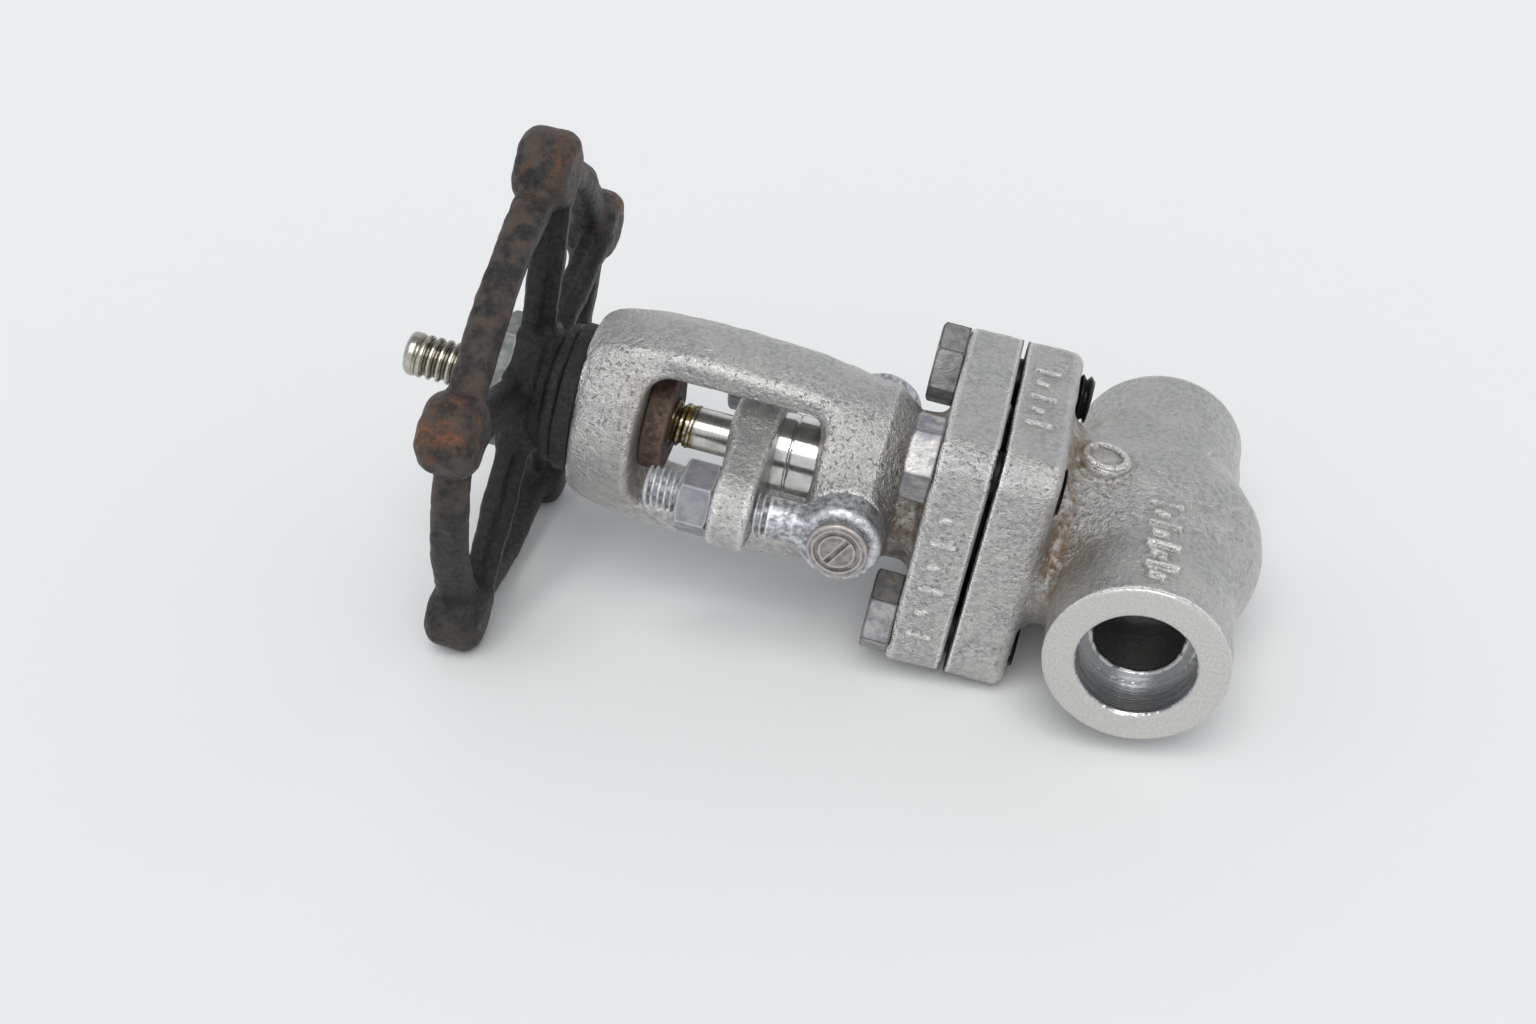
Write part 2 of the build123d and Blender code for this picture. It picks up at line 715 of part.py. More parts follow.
valve_body.part.label = "valve_body"
valve_body.part.locate(lying)
export_step(valve_body.part, "parts/valve_body.step")

wedge.part.label = "wedge"
wedge.part.locate(lying)
export_step(wedge.part, "parts/wedge.step")

stem.part.label = "stem"
stem.part.locate(lying)
export_step(stem.part, "parts/stem.step")

bonnet.part.label = "bonnet"
bonnet.part.locate(lying)
export_step(bonnet.part, "parts/bonnet.step")

bonnet_gasket.part.label = "bonnet_gasket"
bonnet_gasket.part.locate(lying)
export_step(bonnet_gasket.part, "parts/bonnet_gasket.step")

backseat_bush.part.label = "backseat_bush"
backseat_bush.part.locate(lying)
export_step(backseat_bush.part, "parts/backseat_bush.step")

gland_bush.part.label = "gland_bush"
gland_bush.part.locate(lying)
export_step(gland_bush.part, "parts/gland_bush.step")

gland_flange.part.label = "gland_flange"
gland_flange.part.locate(lying)
export_step(gland_flange.part, "parts/gland_flange.step")

yoke_nut.part.label = "yoke_nut"
yoke_nut.part.locate(lying)
export_step(yoke_nut.part, "parts/yoke_nut.step")

thrust_washer.part.label = "thrust_washer"
thrust_washer.part.locate(lying)
export_step(thrust_washer.part, "parts/thrust_washer.step")

handwheel.part.label = "handwheel"
handwheel.part.locate(lying)
export_step(handwheel.part, "parts/handwheel.step")

handwheel_nut.part.label = "handwheel_nut"
handwheel_nut.part.locate(lying)
export_step(handwheel_nut.part, "parts/handwheel_nut.step")

for ring_index in range(ring_count):
    with BuildPart() as ring:
        with Locations((0, 0, ring_index * ring_height)):
            add(packing_ring.part)
    ring.part.label = f"packing_ring_{ring_index + 1}"
    ring.part.locate(lying)
    export_step(ring.part, f"parts/packing_ring_{ring_index + 1}.step")

for corner_name, bolt_x, bolt_y, end_z, head_turn in flange_corners:
    with BuildPart() as bolt:
        with Locations(Location((bolt_x, bolt_y, 0), (0, 0, head_turn))):
            add(bonnet_bolt(end_z))
    bolt.part.label = f"bonnet_bolt_{corner_name}"
    bolt.part.locate(lying)
    export_step(bolt.part, f"parts/bonnet_bolt_{corner_name}.step")

for base_name, source in front_nodes.items():
    with BuildPart() as front_piece:
        add(source.part)
    with BuildPart() as rear_piece:
        add(source.part.mirror(Plane.YZ))
    front_piece.part.label = f"{base_name}_front"
    rear_piece.part.label = f"{base_name}_rear"
    front_piece.part.locate(lying)
    rear_piece.part.locate(lying)
    export_step(front_piece.part, f"parts/{base_name}_front.step")
    export_step(rear_piece.part, f"parts/{base_name}_rear.step")
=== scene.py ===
import functools
import json
import math
import bpy
import numpy as np
from mathutils import Matrix, Vector


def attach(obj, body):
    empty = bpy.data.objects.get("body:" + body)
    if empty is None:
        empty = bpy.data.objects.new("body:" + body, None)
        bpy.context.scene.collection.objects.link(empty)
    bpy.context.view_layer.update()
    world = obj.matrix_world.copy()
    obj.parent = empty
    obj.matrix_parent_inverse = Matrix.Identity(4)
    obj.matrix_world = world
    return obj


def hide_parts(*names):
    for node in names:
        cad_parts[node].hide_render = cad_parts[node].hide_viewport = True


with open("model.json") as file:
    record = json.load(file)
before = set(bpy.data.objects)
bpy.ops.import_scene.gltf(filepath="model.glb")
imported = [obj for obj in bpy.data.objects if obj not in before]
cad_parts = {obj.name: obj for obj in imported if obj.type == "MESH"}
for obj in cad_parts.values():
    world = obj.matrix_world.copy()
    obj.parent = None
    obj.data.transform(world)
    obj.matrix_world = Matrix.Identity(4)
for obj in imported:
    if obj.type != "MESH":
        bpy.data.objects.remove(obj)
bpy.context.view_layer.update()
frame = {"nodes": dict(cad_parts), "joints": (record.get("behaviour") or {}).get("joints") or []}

# The valve is described upright, in millimetres: X along the pipe, Z up the stem from the
# pipe axis.  The handwheel joint says where that frame lies once the valve is on its side.
MM = 0.001
WHEEL_Z = 128.6
joints = {j["name"]: j for j in frame["joints"]}
stem_dir = np.array(joints["handwheel_turn"]["axis"])
run_dir = np.array([0.0, -1.0, 0.0])
UPRIGHT = np.array([run_dir, np.cross(stem_dir, run_dir), stem_dir])
ORIGIN = np.array(joints["handwheel_turn"]["pos_m"]) / MM - WHEEL_Z * stem_dir


def lay(points):
    """Points of the upright valve, in mm, as points of the lying valve, in metres."""
    return (ORIGIN + np.asarray(points, float) @ UPRIGHT) * MM


# ---- signed distance fields ----------------------------------------------------------
def hyp(*parts):
    return np.sqrt(sum(p * p for p in parts))


def union(*parts):
    return functools.reduce(np.minimum, parts)


def common(*parts):
    return functools.reduce(np.maximum, parts)


def fuse(a, b, r):
    """Union with a fillet of radius r."""
    return np.maximum(r, np.minimum(a, b)) - hyp(np.maximum(r - a, 0), np.maximum(r - b, 0))


def meet(a, b, r):
    """Intersection with an edge rounded to radius r."""
    return np.minimum(-r, np.maximum(a, b)) + hyp(np.maximum(r + a, 0), np.maximum(r + b, 0))


def slab(w, low, high):
    return np.abs(w - (low + high) / 2) - (high - low) / 2


def rounded_rect(u, v, half_u, half_v, corner):
    a, b = np.abs(u) - half_u + corner, np.abs(v) - half_v + corner
    return hyp(np.maximum(a, 0), np.maximum(b, 0)) + np.minimum(np.maximum(a, b), 0) - corner


def hexagon(u, v, across, turn=0.0):
    faces = [np.radians(turn + 30 + 60 * k) for k in range(3)]
    return common(*[np.abs(u * np.cos(t) + v * np.sin(t)) for t in faces]) - across / 2


def helix(x, y, z, radius, depth, pitch, hand, flat=0.25):
    """A screw thread round Z: hand 1 is right-handed, -1 left-handed."""
    turn = z / pitch - hand * np.arctan2(y, x) / (2 * np.pi)
    tooth = np.abs(turn - np.floor(turn) - 0.5) * 2
    tooth = np.clip((tooth - flat) / (1 - 2 * flat), 0, 1)
    return hyp(x, y) - radius + depth * tooth


def smooth_steps(z, table):
    """A smooth curve through (z, value) pairs, and its slope."""
    zs, vs = np.array(table, float).T
    slopes = np.gradient(vs, zs)
    k = np.clip(np.searchsorted(zs, z) - 1, 0, len(zs) - 2)
    h = zs[k + 1] - zs[k]
    t = np.clip((z - zs[k]) / h, 0, 1)
    a, b = vs[k], vs[k + 1]
    m, n = slopes[k] * h, slopes[k + 1] * h
    value = (2 * t**3 - 3 * t**2 + 1) * a + (t**3 - 2 * t**2 + t) * m
    value = value + (3 * t**2 - 2 * t**3) * b + (t**3 - t**2) * n
    slope = ((6 * t**2 - 6 * t) * (a - b) + (3 * t**2 - 4 * t + 1) * m + (3 * t**2 - 2 * t) * n) / h
    return value, slope


# ---- from field to mesh --------------------------------------------------------------
def gradient(field, p, h=0.02):
    x, y, z = p.T
    g = np.stack([
        field(x + h, y, z) - field(x - h, y, z),
        field(x, y + h, z) - field(x, y - h, z),
        field(x, y, z + h) - field(x, y, z - h),
    ], 1)
    return g / np.maximum(np.linalg.norm(g, axis=1, keepdims=True), 1e-9)


BLOCK = 12
BLOCK_REACH = 1.8
SOFTNESS = 0.05
CELL_REACH = 0.7


def contour(field, low, high, step):
    """Dual contouring of field = 0: vertices and quads that keep sharp edges.

    Blocks whose centre is far from the surface are not sampled further.
    """
    low = np.array(low, float)
    count = np.ceil((np.array(high, float) - low) / step / BLOCK).astype(int) * BLOCK
    axes = [low[k] + step * np.arange(count[k]) for k in range(3)]
    f = np.ones(count, np.float32)
    half = step * BLOCK / 2
    centres = [low[k] + half + 2 * half * np.arange(count[k] // BLOCK) for k in range(3)]
    coarse = field(centres[0][:, None, None], centres[1][None, :, None], centres[2][None, None, :])
    near = np.abs(coarse) < half * BLOCK_REACH
    for i, j, k in np.ndindex(*coarse.shape):
        at = np.s_[i * BLOCK:(i + 1) * BLOCK, j * BLOCK:(j + 1) * BLOCK, k * BLOCK:(k + 1) * BLOCK]
        if near[i, j, k]:
            f[at] = field(
                axes[0][at[0], None, None], axes[1][None, at[1], None], axes[2][None, None, at[2]]
            )
        else:
            f[at] = coarse[i, j, k]
    inside = f < 0
    filled = sum(
        inside[a:count[0] - 1 + a, b:count[1] - 1 + b, c:count[2] - 1 + c].astype(np.int8)
        for a in (0, 1) for b in (0, 1) for c in (0, 1)
    )
    active = (filled > 0) & (filled < 8)
    cells = np.argwhere(active)
    number = np.full(active.shape, -1, np.int64)
    number[active] = np.arange(len(cells))
    total = len(cells)
    sums = np.zeros((13, total))
    quads = []
    for axis in range(3):
        ahead = np.roll(inside, -1, axis)
        crossing = inside != ahead
        crossing[tuple(np.s_[-1:] if k == axis else np.s_[:] for k in range(3))] = False
        e = np.argwhere(crossing)
        step_on = np.eye(3, dtype=int)[axis]
        fa, fb = f[tuple(e.T)], f[tuple((e + step_on).T)]
        p = low + step * (e + (fa / (fa - fb))[:, None] * step_on)
        n = gradient(field, p)
        d = (n * p).sum(1)
        rows = [
            n[:, 0] ** 2, n[:, 0] * n[:, 1], n[:, 0] * n[:, 2],
            n[:, 1] ** 2, n[:, 1] * n[:, 2], n[:, 2] ** 2,
            n[:, 0] * d, n[:, 1] * d, n[:, 2] * d,
            p[:, 0], p[:, 1], p[:, 2], np.ones(len(e)),
        ]
        u = np.eye(3, dtype=int)[(axis + 1) % 3]
        v = np.eye(3, dtype=int)[(axis + 2) % 3]
        corners = ((0, 0), (1, 0), (1, 1), (0, 1))
        ring = np.stack([number[tuple((e - a * u - b * v).T)] for a, b in corners], 1)
        for corner in ring.T:
            for row, values in enumerate(rows):
                sums[row] += np.bincount(corner, values, total)
        flip = fa < 0
        ring[~flip] = ring[~flip][:, ::-1]
        quads.append(ring)
    weight = np.maximum(sums[12], 1)
    middle = (sums[9:12] / weight).T
    ata = sums[[0, 1, 2, 1, 3, 4, 2, 4, 5]].T.reshape(-1, 3, 3)
    atb = sums[6:9].T
    ridge = ata + np.eye(3) * (SOFTNESS * weight)[:, None, None]
    shift = np.linalg.solve(ridge, (atb - np.einsum("nij,nj->ni", ata, middle))[..., None])[..., 0]
    cell_mid = low + step * (cells + 0.5)
    verts = np.clip(middle + shift, cell_mid - CELL_REACH * step, cell_mid + CELL_REACH * step)
    return verts, np.concatenate(quads)


LATTICE = 32
LATTICE_SEED = 11
lattice = np.random.RandomState(LATTICE_SEED).rand(LATTICE, LATTICE, LATTICE) * 2 - 1


def noise(p, size, seed=0.0):
    """Smooth value noise from -1 to 1 with bumps of about that size in mm."""
    q = p / size + 3.7 * seed + 50
    i = np.floor(q).astype(int)
    t = q - i
    t = t * t * (3 - 2 * t)
    total = 0
    for a in (0, 1):
        for b in (0, 1):
            for c in (0, 1):
                w = np.abs(1 - a - t[:, 0]) * np.abs(1 - b - t[:, 1]) * np.abs(1 - c - t[:, 2])
                total = total + w * lattice[
                    (i[:, 0] + a) % LATTICE, (i[:, 1] + b) % LATTICE, (i[:, 2] + c) % LATTICE
                ]
    return total


def curvature(field, p, h):
    x, y, z = p.T
    around = field(x + h, y, z) + field(x - h, y, z) + field(x, y + h, z) + field(x, y - h, z)
    around = around + field(x, y, z + h) + field(x, y, z - h)
    return (around - 6 * field(x, y, z)) / h**2


def make(name, field, low, high, step, body, nodes, material,
         lumps=(), machined=None, sharp=38, attributes=None, shift=(0, 0, 0), bend_size=1.2):
    """Contours a field, roughens it outside its machined places, and puts it in the frame.

    lumps holds (size, height, seed) of the noise that roughens it; machined and the functions
    in attributes give, for points of the upright valve, numbers that the materials read.
    """
    v, quads = contour(field, low, high, step)
    normal = gradient(field, v)
    worked = machined(*v.T) if machined else np.zeros(len(v))
    bend = np.clip(curvature(field, v, bend_size) * 0.5, -1, 1)
    rise = sum((height * noise(v, size, seed) for size, height, seed in lumps), np.zeros(len(v)))
    upright = v + np.array(shift)
    moved = v + normal * (rise * (1 - worked))[:, None] + np.array(shift)
    mesh = bpy.data.meshes.new(name)
    mesh.vertices.add(len(v))
    mesh.vertices.foreach_set("co", lay(moved).astype(np.float32).ravel())
    mesh.loops.add(quads.size)
    mesh.loops.foreach_set("vertex_index", quads.astype(np.int32).ravel())
    mesh.polygons.add(len(quads))
    mesh.polygons.foreach_set("loop_start", np.arange(0, quads.size, 4, dtype=np.int32))
    mesh.update(calc_edges=True)
    mesh.validate()
    mesh.polygons.foreach_set("use_smooth", np.ones(len(mesh.polygons), bool))
    mesh.set_sharp_from_angle(angle=math.radians(sharp))
    values = {"bend": bend, "machined": worked}
    for key, function in (attributes or {}).items():
        values[key] = function(*upright.T)
    for key, numbers in values.items():
        mesh.attributes.new(key, "FLOAT", "POINT").data.foreach_set("value", numbers.astype(np.float32))
    place = mesh.attributes.new("upright", "FLOAT_VECTOR", "POINT")
    place.data.foreach_set("vector", upright.astype(np.float32).ravel())
    mesh.materials.append(material)
    piece = bpy.data.objects.new(name, mesh)
    bpy.context.scene.collection.objects.link(piece)
    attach(piece, body)
    if nodes:
        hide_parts(*nodes)
    return piece


# ---- materials -----------------------------------------------------------------------
class Nodes:
    """A small writer of shader node trees."""

    def __init__(self, name):
        self.material = bpy.data.materials.new(name)
        self.material.use_nodes = True
        self.tree = self.material.node_tree
        self.shader = self.tree.nodes["Principled BSDF"]
        self.place = self.attribute("upright", "Vector")

    def set(self, socket, value):
        target = self.shader.inputs[socket]
        if isinstance(value, bpy.types.NodeSocket):
            self.tree.links.new(value, target)
        else:
            target.default_value = (*value, 1) if isinstance(value, (tuple, list)) else value

    def feed(self, socket, value):
        if isinstance(value, bpy.types.NodeSocket):
            self.tree.links.new(value, socket)
        else:
            socket.default_value = value

    def attribute(self, name, output="Fac"):
        node = self.tree.nodes.new("ShaderNodeAttribute")
        node.attribute_name = name
        return node.outputs[output]

    def math(self, operation, a, b=0.0, clamp=False):
        node = self.tree.nodes.new("ShaderNodeMath")
        node.operation, node.use_clamp = operation, clamp
        self.feed(node.inputs[0], a)
        self.feed(node.inputs[1], b)
        return node.outputs[0]

    def noise(self, size, detail=3.0, rough=0.55, warp=0.0):
        """Noise with bumps of about that size in mm, from 0 to 1."""
        node = self.tree.nodes.new("ShaderNodeTexNoise")
        node.inputs["Scale"].default_value = 1 / size
        node.inputs["Detail"].default_value = detail
        node.inputs["Roughness"].default_value = rough
        node.inputs["Distortion"].default_value = warp
        self.tree.links.new(self.place, node.inputs["Vector"])
        return node.outputs["Fac"]

    def ramp(self, value, low, high, to_low=0.0, to_high=1.0):
        node = self.tree.nodes.new("ShaderNodeMapRange")
        node.interpolation_type = "SMOOTHSTEP"
        self.feed(node.inputs["Value"], value)
        sockets = ("From Min", "From Max", "To Min", "To Max")
        for socket, number in zip(sockets, (low, high, to_low, to_high)):
            node.inputs[socket].default_value = number
        return node.outputs["Result"]

    def mix(self, factor, a, b):
        """Colours a and b mixed by factor."""
        node = self.tree.nodes.new("ShaderNodeMix")
        node.data_type = "RGBA"
        self.feed(node.inputs[0], factor)
        for socket, value in ((node.inputs[6], a), (node.inputs[7], b)):
            if isinstance(value, bpy.types.NodeSocket):
                self.tree.links.new(value, socket)
            else:
                socket.default_value = (*value, 1)
        return node.outputs[2]

    def bump(self, height, distance, under=None):
        """Bump of that many mm, laid over another one if given."""
        node = self.tree.nodes.new("ShaderNodeBump")
        node.inputs["Distance"].default_value = distance * MM
        node.inputs["Strength"].default_value = 1.0
        self.tree.links.new(height, node.inputs["Height"])
        if under is not None:
            self.tree.links.new(under, node.inputs["Normal"])
        return node.outputs[0]


def forged_steel():
    """Blasted stainless forging: fine grain; convex edges lighter, wear with a painted highlight; hollows
    darkened brown, dirt with painted shade; bores and mating faces near black as painted shade.
    """
    m = Nodes("forged_stainless")
    bend, machined = m.attribute("bend"), m.attribute("machined")
    bore, stain_and_shade, sleek = m.attribute("bore"), m.attribute("stain_and_shade"), m.attribute("sleek")
    broad, grain, fine = m.noise(9, 4), m.noise(1.1, 5, 0.62), m.noise(0.38, 3, 0.6)
    pits = m.ramp(m.noise(0.75, 2, 0.5), 0.60, 0.72)
    forged = m.mix(m.ramp(grain, 0.34, 0.66), (0.40, 0.40, 0.395), (0.58, 0.575, 0.56))
    forged = m.mix(m.ramp(broad, 0.40, 0.68, 0.0, 0.6), forged, (0.60, 0.58, 0.545))
    # painted highlight: convex edges made lighter, partly worn metal, partly glints of light
    forged = m.mix(m.ramp(bend, 0.08, 0.45, 0.0, 0.8), forged, (0.84, 0.825, 0.80))
    forged = m.mix(m.math("MULTIPLY", pits, 0.45), forged, (0.24, 0.22, 0.195))
    # painted shade with brown dirt: hollows, creases and the places the stain attribute marks are darkened
    # brown in patches
    hollow = m.math("ADD", m.ramp(bend, -0.03, -0.35, 0.0, 0.35), stain_and_shade, True)
    hollow = m.math("MULTIPLY", hollow, m.ramp(m.noise(3.0, 4, 0.6), 0.30, 0.60), True)
    forged = m.mix(m.math("MULTIPLY", hollow, 0.9), forged, (0.20, 0.135, 0.082))
    turned = m.noise(0.5, 2, 0.5)
    face = m.mix(m.ramp(turned, 0.3, 0.7), (0.56, 0.55, 0.525), (0.66, 0.65, 0.625))
    face = m.mix(sleek, face, (0.46, 0.465, 0.47))
    # painted shade: bores, the chamber and the mating faces made near black
    face = m.mix(bore, face, (0.035, 0.036, 0.036))
    m.set("Base Color", m.mix(machined, forged, face))
    m.set("Metallic", 0.94)
    rough = m.math("ADD", m.ramp(grain, 0.3, 0.7, 0.40, 0.27), m.math("MULTIPLY", hollow, 0.25))
    rough = m.math("SUBTRACT", rough, m.ramp(bend, 0.08, 0.45, 0.0, 0.08))
    rough = m.math("ADD", rough, m.math("MULTIPLY", machined, 0.10))
    rough = m.math("SUBTRACT", rough, m.math("MULTIPLY", sleek, 0.27), True)
    m.set("Roughness", rough)
    height = m.math("ADD", m.math("MULTIPLY", grain, 0.8), m.math("MULTIPLY", fine, 0.35))
    height = m.math("SUBTRACT", height, m.math("MULTIPLY", pits, 0.35))
    height = m.math("MULTIPLY", height, m.ramp(machined, 0.0, 1.0, 1.0, 0.04))
    grooves = m.tree.nodes.new("ShaderNodeTexNoise")
    grooves.noise_dimensions = "1D"
    grooves.inputs["Scale"].default_value = 2.4
    grooves.inputs["Detail"].default_value = 3
    split = m.tree.nodes.new("ShaderNodeSeparateXYZ")
    m.tree.links.new(m.place, split.inputs[0])
    m.tree.links.new(split.outputs[0], grooves.inputs["W"])
    turning = m.bump(m.math("MULTIPLY", grooves.outputs["Fac"], sleek), 0.16)
    m.set("Normal", m.bump(height, 0.66, under=turning))
    return m.material


def turned_steel(name, dark, light, roughness, marks=0.02, grease=None):
    """Turned or ground steel with fine marks round the axis carried by the lathe attribute."""
    m = Nodes(name)
    tool = m.tree.nodes.new("ShaderNodeTexNoise")
    tool.noise_dimensions = "1D"
    tool.inputs["Scale"].default_value = 3.2
    tool.inputs["Detail"].default_value = 4
    m.feed(tool.inputs["W"], m.attribute("lathe"))
    cloud = m.noise(3.5, 3)
    colour = m.mix(m.ramp(cloud, 0.3, 0.7), dark, light)
    varied = m.math("ADD", cloud, tool.outputs["Fac"])
    rough = m.ramp(varied, 0.7, 1.3, roughness + 0.06, roughness - 0.06)
    if grease:
        greasy = m.math("MULTIPLY", m.attribute("grease"), m.ramp(m.noise(1.1, 4, 0.6), 0.32, 0.58))
        colour = m.mix(greasy, colour, grease)
        rough = m.math("ADD", rough, m.math("MULTIPLY", greasy, 0.25))
        # painted shade in the thread roots, brown like the grease
        groove = m.ramp(m.attribute("bend"), -0.05, -0.5, 0.0, 0.8)
        colour = m.mix(groove, colour, (0.07, 0.055, 0.035))
    m.set("Base Color", colour)
    m.set("Metallic", 1.0)
    m.set("Roughness", rough)
    m.set("Normal", m.bump(tool.outputs["Fac"], marks))
    return m.material


def plain_metal(name, dark, light, roughness, size, bump, metallic, rust=0.0, edge=None):
    """Mottled steel: two colours in patches, with grain, edges in their own colour (lighter by default, a
    painted highlight), rust, and near black painted shade in the flange gap.
    """
    m = Nodes(name)
    bend = m.attribute("bend")
    patches, grain = m.noise(size, 4, 0.6), m.noise(0.5, 3, 0.6)
    colour = m.mix(m.ramp(patches, 0.35, 0.65), dark, light)
    edge = edge or tuple(min(1, 1.5 * c) for c in light)
    # painted highlight: convex edges take the edge colour, lighter than the metal unless an edge colour is
    # given
    colour = m.mix(m.ramp(bend, 0.15, 0.7, 0.0, 0.6), colour, edge)
    if rust:
        brown = m.math("MULTIPLY", m.ramp(m.noise(1.8, 5, 0.65, warp=0.6), 0.5, 0.66), rust)
        colour = m.mix(brown, colour, (0.17, 0.085, 0.038))
    # painted shade: near black where the grime attribute marks the dark gap between the flanges
    colour = m.mix(m.attribute("gap_shade"), colour, (0.022, 0.023, 0.021))
    m.set("Base Color", colour)
    m.set("Metallic", metallic)
    m.set("Roughness", m.ramp(patches, 0.3, 0.7, roughness + 0.1, roughness - 0.08))
    m.set("Normal", m.bump(m.math("ADD", grain, patches), bump))
    return m.material


def scaled_iron():
    """Black wheel: scale, with a brown tinge and rust on lobes and rim where hands and tables rub them,
    stronger on the upper half as painted light from above.
    """
    m = Nodes("black_iron")
    wear_and_top_light = m.attribute("wear_and_top_light")
    crust, grain, broad = m.noise(1.1, 5, 0.65), m.noise(0.35, 3, 0.6), m.noise(7, 3, 0.6)
    black = m.mix(m.ramp(crust, 0.35, 0.68), (0.006, 0.0063, 0.0068), (0.019, 0.0195, 0.0205))
    # painted light: the brown tinge grows with the attribute, which is stronger on the upper half
    worn_and_lit = m.ramp(wear_and_top_light, 0.02, 0.30, 0.12, 0.9)
    tinge = m.math("MULTIPLY", m.ramp(m.noise(4.0, 4, 0.6), 0.36, 0.62), worn_and_lit)
    black = m.mix(tinge, black, (0.070, 0.052, 0.041))
    fresh = m.ramp(m.noise(0.9, 4, 0.6), 0.3, 0.7)
    rust_colour = m.mix(fresh, (0.055, 0.026, 0.014), (0.20, 0.075, 0.028))
    where = m.math("ADD", m.math("MULTIPLY", wear_and_top_light, 0.55), broad)
    where = m.math("ADD", where, m.math("MULTIPLY", m.noise(1.6, 4, 0.6), 0.35))
    rusty = m.ramp(where, 1.06, 1.32)
    m.set("Base Color", m.mix(rusty, black, rust_colour))
    m.set("Metallic", 0.0)
    m.set("Specular IOR Level", 0.38)
    m.set("Roughness", m.ramp(crust, 0.3, 0.7, 0.60, 0.38))
    height = m.math("ADD", crust, m.math("MULTIPLY", grain, 0.35))
    m.set("Normal", m.bump(height, 0.5))
    return m.material


FORGED = forged_steel()
IRON = scaled_iron()
TURNED = turned_steel("turned_stainless", (0.42, 0.415, 0.405), (0.58, 0.575, 0.565), 0.30)
POLISHED = turned_steel("polished_stainless", (0.55, 0.54, 0.525), (0.72, 0.71, 0.69), 0.15, marks=0.012)
STEM = turned_steel(
    "stem_steel", (0.46, 0.45, 0.42), (0.66, 0.645, 0.60), 0.22, marks=0.012, grease=(0.20, 0.15, 0.03)
)
BOLT = plain_metal(
    "bolt_steel", (0.27, 0.275, 0.30), (0.44, 0.435, 0.42), 0.42,
    size=3.0, bump=0.10, metallic=0.85, rust=0.35, edge=(0.07, 0.062, 0.06),
)
ZINC = plain_metal(
    "zinc_steel", (0.26, 0.27, 0.29), (0.66, 0.68, 0.705), 0.42,
    size=1.3, bump=0.16, metallic=0.85, rust=0.3,
)
NUT = plain_metal(
    "nut_steel", (0.25, 0.255, 0.28), (0.36, 0.36, 0.375), 0.50, size=3.0, bump=0.05, metallic=0.85
)
PIN = plain_metal(
    "pin_steel", (0.24, 0.225, 0.22), (0.40, 0.375, 0.36), 0.46,
    size=1.6, bump=0.12, metallic=0.85, rust=0.15,
)
GREY = plain_metal(
    "grey_plated_steel", (0.15, 0.165, 0.158), (0.235, 0.25, 0.238), 0.5, size=3.5, bump=0.05, metallic=0.35
)
BROWN = plain_metal(
    "yoke_nut_rust", (0.045, 0.030, 0.024), (0.125, 0.080, 0.060), 0.6, size=1.2, bump=0.3, metallic=0.2
)
GRAPHITE = plain_metal(
    "graphite", (0.012, 0.012, 0.012), (0.035, 0.034, 0.033), 0.7, size=1.2, bump=0.1, metallic=0.0
)

# ---- body ----------------------------------------------------------------------------
HALF_FACE, RUN_R = 39.5, 17.0
SOCKET_R, SOCKET_DEEP, PORT_R = 10.9, 9.5, 8.3
RIM_CUT = 0.5
SEAT_POCKET = 7.5
CHAMBER_HALF, CHAMBER_FLOOR = (7.5, 9.7), -10.5
NECK_R, NECK_FOOT, NECK_TOP = 17.0, -5.0, 24.0
NECK_FLARE, FLARE_HEIGHT = 2.0, 22.0
WEB_R, WEB_FOOT, WEB_SLIM = 16.4, -4.0, 19.0 / 23.0
FLANGE_HALF, FLANGE_CORNER = 26.0, 6.0
BODY_FLANGE = (21.0, 32.6)
BONNET_FLANGE = (33.5, 44.1)
GASKET_R, GASKET_DEEP = 17.0, 1.5
BOLT_AT, BOLT_R = 18.2, 4.76
TAPPED_END = 17.9
MARK_ROOT = 10.0
RATING_AT, RATING_TOP, RATING_END = (23.0, 0.5), 17.95, 4.5
EMBLEM_AT, EMBLEM_R, EMBLEM_TOP = (3.0, 13.4), 5.2, 19.3
EMBLEM_RING_R, EMBLEM_RING_HALF, EMBLEM_RING_TOP = 3.9, 0.6, 19.8
HEAT_ROW_AT, HEAT_ROW_ROOT, HEAT_ROW_TOP = (-1.0, 27.6), 20.0, 26.4


def flange_plate(x, y, z, low, high, edge):
    """A square flange; edge holds the radii of its lower and upper rims."""
    outline = rounded_rect(x, y, FLANGE_HALF, FLANGE_HALF, FLANGE_CORNER)
    return np.maximum(meet(outline, low - z, edge[0]), meet(outline, z - high, edge[1]))


def marks(u, v, count, pitch, tall):
    """A plain row of long and short bars round u = v = 0, as a flat outline."""
    place = np.clip(np.round(u / pitch + (count - 1) / 2), 0, count - 1)
    local = u - (place - (count - 1) / 2) * pitch
    short = place % 2
    half_tall = tall * (0.5 - 0.24 * short)
    return rounded_rect(local + 0.15 * v * short, v - 0.12 * tall * short, 0.55, half_tall, 0.4)


def neck_flare(z):
    """How far the neck has widened at height z."""
    return NECK_FLARE * np.clip((z - NECK_FOOT) / FLARE_HEIGHT, 0, 1)


